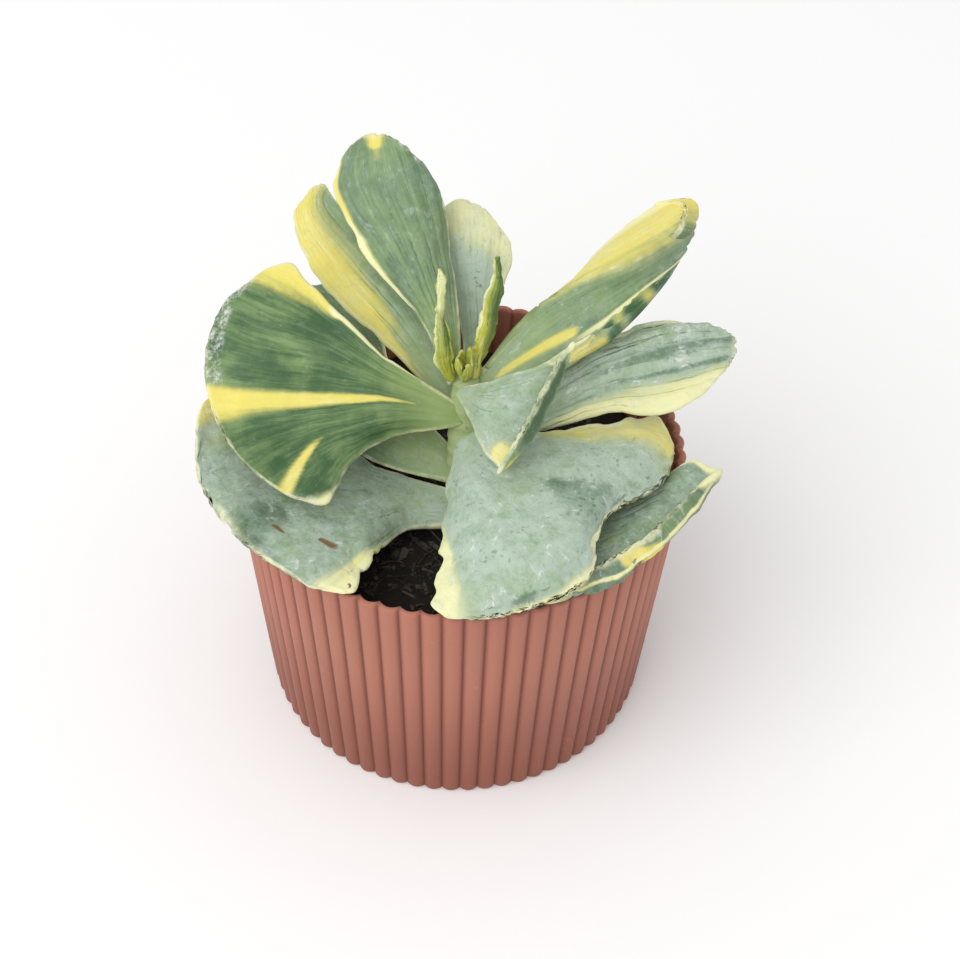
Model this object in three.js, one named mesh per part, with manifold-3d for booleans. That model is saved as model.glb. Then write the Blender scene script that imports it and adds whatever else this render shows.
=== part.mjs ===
// A potted variegated silver crown: a fleshy fan-leaved succulent on a short stem, in a fluted plastic pot.
// Millimetres, +Z up, -Y towards the viewer. The origin is the centre of the pot's underside.
import * as THREE from "three";
import { mergeVertices } from "three/addons/utils/BufferGeometryUtils.js";
import Module from "manifold-3d";

const wasm = await Module();
wasm.setup();

// Driving dimensions of the pot.
const POT_HEIGHT = 75;
const RIM_RADIUS = 56; // over the flutes' crests, at the rim
const BASE_RADIUS = 50; // over the flutes' crests, at the foot
const FLUTES = 68;
const FLUTE_DEPTH = 1.1; // from a crest to the valley beside it
const FLUTE_POWER = 0.8; // below 1 the crests are broad and the valleys narrow
const WALL = 1.9;
const FLOOR = 2.5;
const STEPS_PER_FLUTE = 4;
const FOOT_CHAMFER = 0.8;
const DRAIN_HOLES = 6;
const DRAIN_RADIUS = 3.5;
const DRAIN_CIRCLE = 24; // radius of the circle that the holes lie on
const DRAIN_SIDES = 16;

// Driving dimensions of what stands in it.
const CLEARANCE = 0.3; // between two pieces that touch
const SOIL_EDGE = 61.5; // soil level at the wall
const SOIL_SHOULDER = 62.4; // soil level part of the way out
const SOIL_SHOULDER_SHARE = 0.55; // how far out the shoulder lies, as a share of the way to the wall
const SOIL_CROWN = 62.8; // soil level at the middle
const SOIL_SIDES = 48;
const STEM_SIDES = 20;
const LEAF_STEPS_ALONG = 14;
const LEAF_STEPS_ACROSS = 8;

// The stem leans back from its foot: centre x, y, z and radius of each ring, from the buried end up.
const STEM_RINGS = [
  [1, -15.5, 48, 3.6],
  [1, -12, 60, 4.6],
  [1, -8, 76, 4.3],
  [1, -3, 90, 4],
  [1, -0.5, 98.5, 3.2],
];

// The growing tip, a small pointed bud on the stem's top: radius and height of its outline from the foot up.
const TIP_OUTLINE = [
  [0, 0],
  [1.2, 0],
  [1.7, 3],
  [1.2, 6],
  [0, 9],
];
const TIP_SHIFT = [-0.4, -0.3]; // x and y of its middle from the middle of the stem's top
const TIP_SIDES = 12;

// Each leaf is a list of rows from its foot to its far edge. A row is a few points of the blade's middle
// surface from the left margin to the right one, seen from the foot with the upper face up.
// Far corners are cut round by `round`, the share of the blade that the rounding takes, where it is given.
const LEAVES = {
  left_fan_leaf: {
    thick: 2.6,
    rows: [
      [[0.5, -6.5, 88.5], [-0.5, -4.5, 90.5], [-1, -3, 93]],
      [[-16, -11, 88], [-16.5, -9, 93], [-17.5, -5.5, 96], [-18, -2.5, 100], [-18.5, 1, 104]],
      [[-26, -19.5, 87], [-29, -14.5, 93], [-31.5, -7.5, 98], [-32, 1, 105], [-32, 10.5, 112]],
      [[-28.5, -30, 85.5], [-39, -19.5, 92], [-46.5, -9, 99], [-48, 3.5, 108], [-41.5, 19.5, 116]],
      [[-33, -39.5, 83.5], [-49, -27.5, 91], [-59.5, -8.5, 99], [-60, 11, 108], [-50, 24.5, 117]],
    ],
  },
  lower_left_leaf: {
    thick: 2.8,
    round: 0.18,
    rows: [
      [[-1, -18.5, 65.5], [-1, -14, 67], [-1, -9.5, 69.5]],
      [[-13, -22, 67], [-13.5, -14.5, 69], [-14.5, -6, 71]],
      [[-20.5, -42, 75], [-24, -29.5, 75], [-28, -16.5, 75], [-32, 0, 76]],
      [[-21, -51, 77.5], [-34.5, -42.5, 78], [-45, -29, 80], [-52, -9, 81.5], [-53, 9, 84]],
      [[-24.5, -53, 77.5], [-38.5, -47, 79.5], [-53, -35.5, 82], [-63.5, -18, 85], [-73, 8.5, 91]],
    ],
  },
  back_tall_leaf: {
    thick: 2.6,
    rows: [
      [[-3.2, 0.2, 95.5], [-1.8, 1.5, 96.3], [-0.3, 2.5, 97]],
      [[-10, 9.5, 107], [-5.5, 8, 110], [-1, 9.5, 110]],
      [[-24, 20.5, 118], [-18, 19, 121], [-12, 18.5, 123], [-7, 20.5, 122], [-4, 25, 120]],
      [[-32, 32.5, 128], [-27.5, 29.5, 132], [-18.5, 29, 134], [-10.5, 28.5, 134], [-4.5, 26.5, 128]],
      [[-31.5, 36, 137], [-27.5, 38.5, 139], [-21.5, 39, 140], [-14.5, 36, 139], [-8, 32.5, 136]],
    ],
  },
  back_yellow_leaf: {
    thick: 2.5,
    rows: [
      [[-3.5, 0, 88.5], [-2.5, 1.5, 90], [-1.5, 3, 90.5]],
      [[-19.5, 10.5, 99], [-14.5, 14.5, 102], [-8.5, 18.5, 102]],
      [[-35.5, 23, 107], [-28.5, 28.5, 110], [-20.5, 34, 112]],
      [[-43, 37, 114], [-37.5, 37.5, 117], [-30, 40.5, 118]],
      [[-42.5, 45.5, 118], [-37, 45.5, 120], [-30.5, 44.5, 120]],
    ],
  },
  back_pale_leaf: {
    thick: 2.4,
    rows: [
      [[-0.5, 1.5, 89], [1, 1.5, 89.5], [2.5, 2, 90]],
      [[-0.5, 13, 99], [2.5, 13, 100], [5.5, 14.5, 99]],
      [[-5, 23.5, 112], [2, 22.5, 112.5], [9.5, 22.5, 108.5]],
      [[-9, 33, 121], [2, 31.5, 121], [12.5, 28.5, 114.5]],
      [[-8, 39, 124], [1, 36, 123], [10.5, 32.5, 119]],
    ],
  },
  lower_back_leaf: {
    thick: 2.6,
    rows: [
      [[-1, -11, 73], [-2, -6.5, 75], [-2.5, -2.5, 78]],
      [[-17, -8, 75], [-16.5, -3.5, 80], [-15, 8.5, 85]],
      [[-29.5, -4.5, 79], [-29, 9, 83], [-21.5, 27, 89]],
      [[-41.5, 1.5, 84], [-44, 20.5, 87.5], [-31, 40.5, 92]],
      [[-48.5, 14.5, 87], [-50.5, 35.5, 90], [-38, 44, 93]],
    ],
  },
  upper_right_leaf: {
    thick: 2.4,
    round: 0.04,
    rows: [
      [[2, 1.5, 95], [2.5, 0.5, 95], [3, 0, 94.5], [3.5, -0.5, 94], [3.5, -1, 93.5], [3.5, -1.5, 93]],
      [[14, 10, 105], [14, 9.5, 106], [14.5, 10.5, 107], [18.5, 7.5, 103], [21.5, 4, 98.5], [20.5, 4, 101]],
      [[25.5, 22.5, 110], [26, 19.5, 112], [28, 18.5, 113], [31.5, 16, 107.5], [34.5, 11, 102], [33, 13, 105.5]],
      [[36.5, 36, 114], [36.5, 26.5, 117], [38.5, 20, 118], [40.5, 21, 112.5], [43.5, 19, 107], [41.5, 20, 111]],
      [[45, 42.5, 118], [54, 39, 122], [54.5, 33.5, 120], [53, 31, 115.5], [51, 29.5, 112], [50, 28, 112]],
      [[46, 41, 119], [52, 37, 123.5], [51.5, 30.5, 123.5], [49.5, 28, 121], [47.5, 28, 118], [51, 27.5, 116]],
    ],
  },
  right_grey_leaf: {
    thick: 2.6,
    rows: [
      [[1.5, -1.5, 83], [2.5, -3.5, 81], [3, -5.5, 79]],
      [[18, 6.5, 90], [19, 2, 87], [20.5, -1.5, 83]],
      [[31, 15.5, 96], [33.5, 9, 92], [35.5, 0, 87]],
      [[47, 21.5, 99], [51, 12, 96], [51.5, -2.5, 91]],
      [[63.5, 24.5, 99], [67, 16, 97], [63.5, 3.5, 93]],
    ],
  },
  front_wide_leaf: {
    thick: 2.6,
    round: 0.12,
    rows: [
      [[3, -4, 86], [2.5, -5, 86], [1.5, -6.5, 85], [0.5, -7.5, 84], [0, -8.5, 83], [-0.5, -9.5, 82]],
      [[15.5, -5.5, 86], [12, -13.5, 87], [8.5, -19.5, 87.5], [5, -23.5, 87], [1, -25, 85], [-3, -23, 81]],
      [[31.5, -0.5, 84.5], [27.5, -13.5, 87], [21.5, -25, 88], [13.5, -35, 88], [4.5, -39.5, 86], [-3.5, -41, 80]],
      [[44, 3.5, 84], [43, -10.5, 86], [32, -28.5, 87], [23.5, -44.5, 87], [9, -53, 83], [-5, -51, 79]],
      [[56.5, 4.5, 83.5], [50.5, -17, 83], [34.5, -31.5, 84.5], [30, -48.5, 82], [12.5, -58, 79], [-9.5, -62.5, 77.5]],
    ],
  },
  front_right_leaf: {
    thick: 2.4,
    round: 0.06,
    rows: [
      [[2, -11.5, 69], [1, -12, 68], [0.5, -12.5, 67]],
      [[24.5, -8.5, 74], [21, -18.5, 73], [15, -26, 70]],
      [[43.5, -17, 78.5], [38, -25, 77], [30, -34.5, 76], [23, -43.5, 76], [15.5, -47.5, 76]],
      [[55.5, -9, 82], [50, -19, 79], [41, -31.5, 77.5], [30.5, -43.5, 77], [16.5, -50.5, 77]],
      [[62, -13.5, 84], [54, -25.5, 79.5], [44.5, -37.5, 78], [34, -46, 77.5], [18, -52, 77]],
      [[59, -14.5, 86], [51.5, -25, 83], [43, -35, 81.5], [31.5, -43, 80], [18, -52, 79]],
    ],
  },
  front_folded_leaf: {
    thick: 2.3,
    round: 0.08,
    rows: [
      [[1, -2.5, 97], [0, -3.5, 96.5], [-0.5, -5, 96]],
      [[10, -6.5, 105], [7, -11.5, 102], [2.5, -14.5, 97]],
      [[20, -6, 109], [17.5, -8.5, 107], [14, -12.5, 104], [11, -16, 100], [6, -21.5, 94]],
      [[24.5, -4, 111], [22.5, -8, 107], [20, -13.5, 104], [17, -18.5, 99], [9.5, -26.5, 94]],
      [[26.5, -2, 115], [22, -7.5, 111], [19, -14.5, 109], [16.5, -19, 105], [8, -29, 94]],
    ],
  },
  left_bud_leaf: {
    thick: 1.4,
    round: 0.12,
    rows: [
      [[-3.25, -1.25, 98.75], [-2.5, -1.75, 98.75], [-1.75, -1.25, 98.75]],
      [[-6.75, 1, 102], [-4.25, 0, 104], [-2, 0.25, 102.5]],
      [[-6.75, 2.5, 106], [-4.75, 2.25, 108], [-2.25, 2.25, 105.5]],
      [[-6.5, 4.5, 114], [-5.5, 4.25, 115.5], [-4.25, 5.25, 113.5]],
      [[-6.25, 6.75, 121], [-5.25, 6.5, 121.5], [-4.5, 7, 120.5]],
      [[-6.25, 7.75, 124.5], [-5.75, 7.5, 125], [-5, 8, 124]],
    ],
  },
  right_bud_leaf: {
    thick: 1.4,
    round: 0.12,
    rows: [
      [[2.5, -0.75, 98.5], [3.25, 0, 98.5], [4, 1, 98.5]],
      [[2, 3, 104], [4.25, 2.5, 105], [6.25, 3.75, 103.5]],
      [[3.75, 5.5, 109.5], [6, 4.5, 111], [8, 6, 109]],
      [[4.25, 7.5, 114], [6.5, 6.5, 116], [8.75, 8.75, 114.5]],
      [[6.25, 10, 119.5], [7.75, 9.25, 121], [9, 10, 120]],
      [[6.25, 12.75, 124], [7.5, 12.5, 125.5], [8.5, 12.25, 124]],
    ],
  },
};
const LEAF_EDGE = 1.1; // thickness at the margin
const BUD_EDGE = 0.7;
const FULL_ACROSS = 4; // a higher power keeps a blade thick closer to its margins
const FULL_ALONG = 6; // and closer to its far end
const ROUND_SHARE = 0.25; // share of a blade that its rounded end takes, unless the leaf gives its own
const ROUND_POWER = 2.2; // 2 is an ellipse, more is squarer
const ROUND_ROWS = 0.15; // share of the grid's rows that the rounded end gets beyond its own share
const BLUNT_ANGLE = 0.05; // radians before the point where the rounded end would close to nothing

const TAU = 2 * Math.PI;
const CUT_PAST = 1; // how far a cutter passes the face it cuts through
const MERGE_DISTANCE = 1e-4; // vertices closer than this are one

const COLOURS = {
  pot: [0xbe7a69, 0.75],
  soil: [0x14110e, 0.95],
  stem: [0xaab98c, 0.6],
  leaf: [0x8fae93, 0.55],
  bud: [0xc8d26e, 0.5],
};

function material(kind) {
  const [color, roughness] = COLOURS[kind];
  return new THREE.MeshStandardMaterial({ color, roughness, metalness: 0 });
}

// A closed solid from vertices [x, y, z] and triangles of their numbers.
function solidOf(vertices, triangles) {
  return new wasm.Manifold(
    new wasm.Mesh({
      numProp: 3,
      vertProperties: new Float32Array(vertices.flat()),
      triVerts: new Uint32Array(triangles.flat()),
    }),
  );
}

function solidOfGeometry(geometry) {
  geometry.deleteAttribute("normal");
  geometry.deleteAttribute("uv");
  const merged = mergeVertices(geometry, MERGE_DISTANCE);
  return new wasm.Manifold(
    new wasm.Mesh({
      numProp: 3,
      vertProperties: merged.attributes.position.array,
      triVerts: new Uint32Array(merged.index.array),
    }),
  );
}

function meshOf(name, solid, kind) {
  const { vertProperties, triVerts } = solid.getMesh();
  const geometry = new THREE.BufferGeometry();
  geometry.setAttribute("position", new THREE.BufferAttribute(vertProperties, 3));
  geometry.setIndex(new THREE.BufferAttribute(triVerts, 1));
  geometry.computeVertexNormals();
  const mesh = new THREE.Mesh(geometry, material(kind));
  mesh.name = name;
  return mesh;
}

// A stack of rings of points, closed by a fan at each end, is one solid of revolution or tube.
function stackedRings(rings) {
  const sides = rings[0].length;
  const vertices = rings.flat();
  const triangles = [];
  for (let i = 0; i + 1 < rings.length; i++)
    for (let k = 0; k < sides; k++) {
      const a = i * sides + k;
      const b = i * sides + ((k + 1) % sides);
      triangles.push([a, b, b + sides], [a, b + sides, a + sides]);
    }
  const middle = (ring) => [0, 1, 2].map((axis) => ring.reduce((sum, p) => sum + p[axis], 0) / sides);
  const foot = vertices.push(middle(rings[0])) - 1;
  const head = vertices.push(middle(rings.at(-1))) - 1;
  const last = (rings.length - 1) * sides;
  for (let k = 0; k < sides; k++) {
    const next = (k + 1) % sides;
    triangles.push([foot, next, k], [head, last + k, last + next]);
  }
  return solidOf(vertices, triangles);
}

// The flutes: round crests that meet in narrow valleys, so the radius follows a rectified sine.
function fluteDrop(angle) {
  const phase = (angle * FLUTES) / 2;
  return FLUTE_DEPTH * (1 - Math.abs(Math.cos(phase)) ** FLUTE_POWER);
}

function crestRadius(z) {
  return BASE_RADIUS + ((RIM_RADIUS - BASE_RADIUS) * z) / POT_HEIGHT;
}

function flutedRing(radius, z) {
  const count = FLUTES * STEPS_PER_FLUTE;
  return Array.from({ length: count }, (_, k) => {
    const angle = (k / count) * TAU;
    const r = radius - fluteDrop(angle);
    return [r * Math.cos(angle), r * Math.sin(angle), z];
  });
}

function pot() {
  const outside = stackedRings([
    flutedRing(crestRadius(0) - FOOT_CHAMFER, 0),
    flutedRing(crestRadius(0), FOOT_CHAMFER),
    flutedRing(crestRadius(POT_HEIGHT), POT_HEIGHT),
  ]);
  const above = POT_HEIGHT + CUT_PAST;
  const hollow = stackedRings([
    flutedRing(crestRadius(FLOOR) - WALL, FLOOR),
    flutedRing(crestRadius(above) - WALL, above),
  ]);
  let body = outside.subtract(hollow);
  for (let k = 0; k < DRAIN_HOLES; k++) {
    const drill = new THREE.CylinderGeometry(DRAIN_RADIUS, DRAIN_RADIUS, FLOOR + 2 * CUT_PAST, DRAIN_SIDES);
    drill.rotateX(Math.PI / 2);
    drill.translate(DRAIN_CIRCLE, 0, FLOOR / 2);
    drill.rotateZ((k / DRAIN_HOLES) * TAU);
    body = body.subtract(solidOfGeometry(drill));
  }
  return body;
}

// The stem as it is, or grown on every side by `extra`, which cuts its socket and the leaves' seats.
function stem(extra = 0) {
  const ends = [-extra, ...Array(STEM_RINGS.length - 2).fill(0), extra];
  return stackedRings(
    STEM_RINGS.map(([x, y, z, radius], i) =>
      Array.from({ length: STEM_SIDES }, (_, k) => {
        const angle = (k / STEM_SIDES) * TAU;
        const r = radius + extra;
        return [x + r * Math.cos(angle), y + r * Math.sin(angle), z + ends[i]];
      }),
    ),
  );
}

function soil() {
  const low = FLOOR + CLEARANCE;
  const insideRadius = (z) => crestRadius(z) - WALL - FLUTE_DEPTH - CLEARANCE;
  const profile = [
    [0, low],
    [insideRadius(low), low],
    [insideRadius(SOIL_EDGE), SOIL_EDGE],
    [SOIL_SHOULDER_SHARE * insideRadius(SOIL_EDGE), SOIL_SHOULDER],
    [0, SOIL_CROWN],
  ].map(([r, z]) => new THREE.Vector2(r, z));
  const plug = new THREE.LatheGeometry(profile, SOIL_SIDES);
  plug.rotateX(Math.PI / 2);
  return solidOfGeometry(plug).subtract(stem(CLEARANCE));
}

// A smooth curve through points at the given stations, read at one station.
function through(stations, points, at) {
  const last = stations.length - 1;
  const k = Math.min(Math.max(stations.findIndex((s) => s >= at) - 1, 0), last - 1);
  const slope = (i, axis) => {
    const before = Math.max(i - 1, 0);
    const after = Math.min(i + 1, last);
    return (points[after][axis] - points[before][axis]) / (stations[after] - stations[before]);
  };
  const span = stations[k + 1] - stations[k];
  const s = (at - stations[k]) / span;
  return [0, 1, 2].map((axis) => {
    const start = (2 * s ** 3 - 3 * s ** 2 + 1) * points[k][axis];
    const leave = (s ** 3 - 2 * s ** 2 + s) * span * slope(k, axis);
    const end = (3 * s ** 2 - 2 * s ** 3) * points[k + 1][axis];
    const arrive = (s ** 3 - s ** 2) * span * slope(k + 1, axis);
    return start + leave + end + arrive;
  });
}

function evenly(count, from, to) {
  return Array.from({ length: count }, (_, i) => from + ((to - from) * i) / (count - 1));
}

// Where the rows of the grid lie along the blade, and how wide each is: full up to the rounded end,
// then narrowing as a superellipse to almost nothing.
function gridRows(roundShare) {
  const straight = Math.max(2, Math.round(LEAF_STEPS_ALONG * (1 - roundShare) * (1 - ROUND_ROWS)));
  const rows = evenly(straight + 1, 0, 1 - roundShare).map((u) => ({ u, width: 1 }));
  const turns = LEAF_STEPS_ALONG - straight;
  for (let i = 1; i <= turns; i++) {
    const angle = i < turns ? ((i / turns) * Math.PI) / 2 : Math.PI / 2 - BLUNT_ANGLE;
    const u = 1 - roundShare + roundShare * Math.sin(angle) ** (2 / ROUND_POWER);
    rows.push({ u, width: Math.cos(angle) ** (2 / ROUND_POWER) });
  }
  return rows;
}

function middleSurface(leaf) {
  const columns = Math.max(...leaf.rows.map((row) => row.length));
  const across = evenly(columns, -1, 1);
  const rows = leaf.rows.map((row) => across.map((v) => through(evenly(row.length, -1, 1), row, v)));
  const middles = rows.map((row) => new THREE.Vector3(...row[Math.floor(columns / 2)]));
  const stations = [0];
  for (let i = 1; i < rows.length; i++)
    stations.push(stations[i - 1] + middles[i].distanceTo(middles[i - 1]));
  const along = stations.map((s) => s / stations.at(-1));
  return gridRows(leaf.round ?? ROUND_SHARE).map(({ u, width }) => {
    const section = across.map((_, j) => through(along, rows.map((row) => row[j]), u));
    const places = evenly(LEAF_STEPS_ACROSS + 1, -width, width);
    return places.map((v) => new THREE.Vector3(...through(across, section, v)));
  });
}

// The blade: its middle surface, thickened along its normal, fullest in the middle and thin at the margin.
function blade(leaf, edge) {
  const grid = middleSurface(leaf);
  const long = grid.length - 1;
  const wide = LEAF_STEPS_ACROSS;
  const upper = [];
  const lower = [];
  for (let i = 0; i <= long; i++)
    for (let j = 0; j <= wide; j++) {
      const onward = grid[Math.min(i + 1, long)][j].clone().sub(grid[Math.max(i - 1, 0)][j]);
      const sideways = grid[i][Math.min(j + 1, wide)].clone().sub(grid[i][Math.max(j - 1, 0)]);
      const normal = sideways.cross(onward).normalize();
      const v = (2 * j) / wide - 1;
      const fullness = Math.sqrt((1 - v ** FULL_ACROSS) * (1 - (i / long) ** FULL_ALONG));
      const half = (edge + (leaf.thick - edge) * fullness) / 2;
      upper.push(grid[i][j].clone().addScaledVector(normal, half).toArray());
      lower.push(grid[i][j].clone().addScaledVector(normal, -half).toArray());
    }
  const at = (i, j) => i * (wide + 1) + j;
  const under = upper.length;
  const triangles = [];
  for (let i = 0; i < long; i++)
    for (let j = 0; j < wide; j++) {
      const [a, b, c, d] = [at(i, j), at(i, j + 1), at(i + 1, j + 1), at(i + 1, j)];
      triangles.push([a, b, c], [a, c, d]);
      triangles.push([a + under, c + under, b + under], [a + under, d + under, c + under]);
    }
  const margin = [
    ...evenly(wide + 1, 0, wide).map((j) => at(0, j)),
    ...evenly(long, 1, long).map((i) => at(i, wide)),
    ...evenly(wide, wide - 1, 0).map((j) => at(long, j)),
    ...evenly(long - 1, long - 1, 1).map((i) => at(i, 0)),
  ];
  margin.forEach((a, k) => {
    const b = margin[(k + 1) % margin.length];
    triangles.push([a, a + under, b + under], [a, b + under, b]);
  });
  return solidOf([...upper, ...lower], triangles);
}

// The growing tip stands between the youngest pair of leaves.
function growingTip() {
  const outline = TIP_OUTLINE.map(([r, z]) => new THREE.Vector2(r, z));
  const bud = new THREE.LatheGeometry(outline, TIP_SIDES);
  bud.rotateX(Math.PI / 2);
  const [x, y, z] = STEM_RINGS.at(-1);
  bud.translate(x + TIP_SHIFT[0], y + TIP_SHIFT[1], z + CLEARANCE);
  return solidOfGeometry(bud);
}

const plant = new THREE.Group();
plant.add(meshOf("pot", pot(), "pot"));
plant.add(meshOf("soil", soil(), "soil"));
plant.add(meshOf("stem", stem(), "stem"));
const seat = stem(CLEARANCE);
for (const [name, leaf] of Object.entries(LEAVES)) {
  const isBud = name.endsWith("bud_leaf");
  const solid = blade(leaf, isBud ? BUD_EDGE : LEAF_EDGE).subtract(seat);
  plant.add(meshOf(name, solid, isBud ? "bud" : "leaf"));
}
plant.add(meshOf("growing_tip", growingTip(), "bud"));

export default plant;
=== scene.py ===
# %% [markdown]
# # A potted variegated silver crown
#
# A silver crown is a succulent with thick, fan-shaped leaves, dusted with white wax. This one is
# variegated: cream and yellow sectors run from each leaf's foot to its far edge. It stands in dark
# potting soil, in a fluted pink plastic pot.
#
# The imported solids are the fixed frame. Each visible piece below is made finer in the place of its
# solid, in metres, with its place in its mesh and its object at the origin.

# %% Load the frame
import math
from types import SimpleNamespace

import bmesh
import bpy
import numpy as np
from mathutils import Matrix, Vector, noise


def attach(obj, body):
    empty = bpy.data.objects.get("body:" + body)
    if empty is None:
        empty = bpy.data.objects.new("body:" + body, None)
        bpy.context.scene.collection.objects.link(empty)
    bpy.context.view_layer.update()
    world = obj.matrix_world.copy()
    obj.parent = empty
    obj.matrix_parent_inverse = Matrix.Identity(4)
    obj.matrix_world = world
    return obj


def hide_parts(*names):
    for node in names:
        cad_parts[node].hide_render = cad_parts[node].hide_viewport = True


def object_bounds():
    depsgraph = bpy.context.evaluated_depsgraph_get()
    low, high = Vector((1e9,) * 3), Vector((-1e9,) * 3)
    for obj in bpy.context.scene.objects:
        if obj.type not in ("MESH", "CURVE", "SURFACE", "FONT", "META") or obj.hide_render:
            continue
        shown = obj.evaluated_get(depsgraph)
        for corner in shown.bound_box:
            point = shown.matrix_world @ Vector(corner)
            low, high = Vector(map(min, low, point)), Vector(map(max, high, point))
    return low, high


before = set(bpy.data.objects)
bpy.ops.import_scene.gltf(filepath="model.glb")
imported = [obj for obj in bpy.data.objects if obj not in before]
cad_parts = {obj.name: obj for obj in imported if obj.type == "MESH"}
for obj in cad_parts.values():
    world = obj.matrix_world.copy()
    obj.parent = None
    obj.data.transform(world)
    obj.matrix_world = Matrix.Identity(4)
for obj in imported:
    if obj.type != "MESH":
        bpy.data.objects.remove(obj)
cad_box = [list(corner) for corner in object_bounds()]
MM = 0.001
TAU = 2 * math.pi
print("solids in the frame:", len(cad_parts))
print("their box in mm:", [[round(x / MM, 1) for x in corner] for corner in cad_box])

# %% [markdown]
# ## The camera
#
# The view looks down at the pot by 45.5 degrees, a little rolled, through a short telephoto lens.
# The camera's matrix is put together from its own three directions: right, up and back. A tracking
# constraint would also aim it, but this way the roll is plain to read.

# %% Camera
CAMERA_ELEVATION = math.radians(45.5)
CAMERA_ROLL = math.radians(1.78)
CAMERA_DISTANCE = 470 * MM
CAMERA_TARGET = Vector((5.1, 0, 63.8)) * MM
CAMERA_LENS = 70.09  # millimetres, on a sensor 36 mm wide

level_right = Vector((1, 0, 0))
level_up = Vector((0, math.sin(CAMERA_ELEVATION), math.cos(CAMERA_ELEVATION)))
back = Vector((0, -math.cos(CAMERA_ELEVATION), math.sin(CAMERA_ELEVATION)))
rolled_right = math.cos(CAMERA_ROLL) * level_right + math.sin(CAMERA_ROLL) * level_up
rolled_up = math.cos(CAMERA_ROLL) * level_up - math.sin(CAMERA_ROLL) * level_right

camera = bpy.data.objects.new("camera", bpy.data.cameras.new("camera"))
bpy.context.scene.collection.objects.link(camera)
camera.data.lens = CAMERA_LENS
camera.matrix_world = Matrix.Translation(CAMERA_TARGET + back * CAMERA_DISTANCE) @ (
    Matrix((rolled_right, rolled_up, back)).transposed().to_4x4()
)
bpy.context.scene.camera = camera
print("camera at, in mm:", [round(x / MM, 1) for x in camera.matrix_world.translation])

# %% [markdown]
# ## Node helpers
#
# Every material and every Geometry Nodes tree here is made by the same few helpers. `fill` gives a
# node's inputs either a value or another node's output, and `add_node` makes a node and fills it. The
# others wrap the nodes that are needed most, and each returns an output that the next one can take.

# %% Node helpers
# The Mix node has sockets of the same name for every kind of data: these are its colour sockets.
MIX_SHARE = 0
MIX_FIRST = 6
MIX_SECOND = 7
MIX_RESULT = 2


def fill(tree, node, inputs):
    for key, value in inputs.items():
        if isinstance(value, bpy.types.NodeSocket):
            tree.links.new(value, node.inputs[key])
        else:
            node.inputs[key].default_value = value


def add_node(tree, kind, inputs=None, **settings):
    node = tree.nodes.new(kind)
    for name, value in settings.items():
        setattr(node, name, value)
    fill(tree, node, inputs or {})
    return node


def calc(tree, operation, *values):
    node = add_node(tree, "ShaderNodeMath", dict(enumerate(values)), operation=operation)
    return node.outputs[0]


def total(tree, *values):
    result = values[0]
    for value in values[1:]:
        result = calc(tree, "ADD", result, value)
    return result


def product(tree, *values):
    result = values[0]
    for value in values[1:]:
        result = calc(tree, "MULTIPLY", result, value)
    return result


def parts(tree, vector):
    return add_node(tree, "ShaderNodeSeparateXYZ", {0: vector}).outputs


def combined(tree, x, y, z):
    return add_node(tree, "ShaderNodeCombineXYZ", {"X": x, "Y": y, "Z": z}).outputs[0]


def smooth_step(tree, value, low, high, start=0.0, end=1.0):
    inputs = {"Value": value, "From Min": low, "From Max": high, "To Min": start, "To Max": end}
    node = add_node(tree, "ShaderNodeMapRange", inputs, interpolation_type="SMOOTHSTEP")
    return node.outputs["Result"]


def mix_colours(tree, share, first, second):
    inputs = {MIX_SHARE: share, MIX_FIRST: first, MIX_SECOND: second}
    return add_node(tree, "ShaderNodeMix", inputs, data_type="RGBA").outputs[MIX_RESULT]


def noise_value(tree, vector, scale, detail=3.0, roughness=0.5):
    inputs = {"Vector": vector, "Scale": scale, "Detail": detail, "Roughness": roughness}
    return add_node(tree, "ShaderNodeTexNoise", inputs).outputs["Fac"]


def stretched(tree, vector, x, y, z):
    return add_node(tree, "ShaderNodeMapping", {"Vector": vector, "Scale": (x, y, z)}).outputs[0]


def srgb(red, green, blue):
    """A colour as seen, from 0 to 255, turned into the linear values that shaders take."""
    linear = [
        c / 12.92 if c <= 0.04045 else ((c + 0.055) / 1.055) ** 2.4
        for c in (red / 255, green / 255, blue / 255)
    ]
    return (*linear, 1.0)


def new_material(name):
    material = bpy.data.materials.new(name)
    material.use_nodes = True
    return material, material.node_tree, material.node_tree.nodes["Principled BSDF"]


def object_place(tree):
    return add_node(tree, "ShaderNodeTexCoord").outputs["Object"]


def attribute(tree, name):
    return add_node(tree, "ShaderNodeAttribute", attribute_name=name).outputs


def add_bump(tree, shader, height, distance):
    bump = add_node(tree, "ShaderNodeBump", {"Height": height, "Distance": distance})
    tree.links.new(bump.outputs["Normal"], shader.inputs["Normal"])


# %% [markdown]
# ## Studio
#
# The plant stands on a plain, nearly white floor under a bright even sky, with one large soft lamp
# high on the left in front. The Standard view transform keeps the colours as they are given.

# %% Floor, sky and lamp
FLOOR_SIZE = 6.0
FLOOR_DROP = 0.05 * MM  # under the pot's foot, so that the two faces don't lie in one plane
SKY_STRENGTH = 0.75
LAMP_PLACE = Vector((-0.9, -0.9, 1.5))
LAMP_SIZE = 1.8
LAMP_WATTS = 21
FLOOR_WHITES = (srgb(250, 250, 250), srgb(252, 252, 252))

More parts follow.
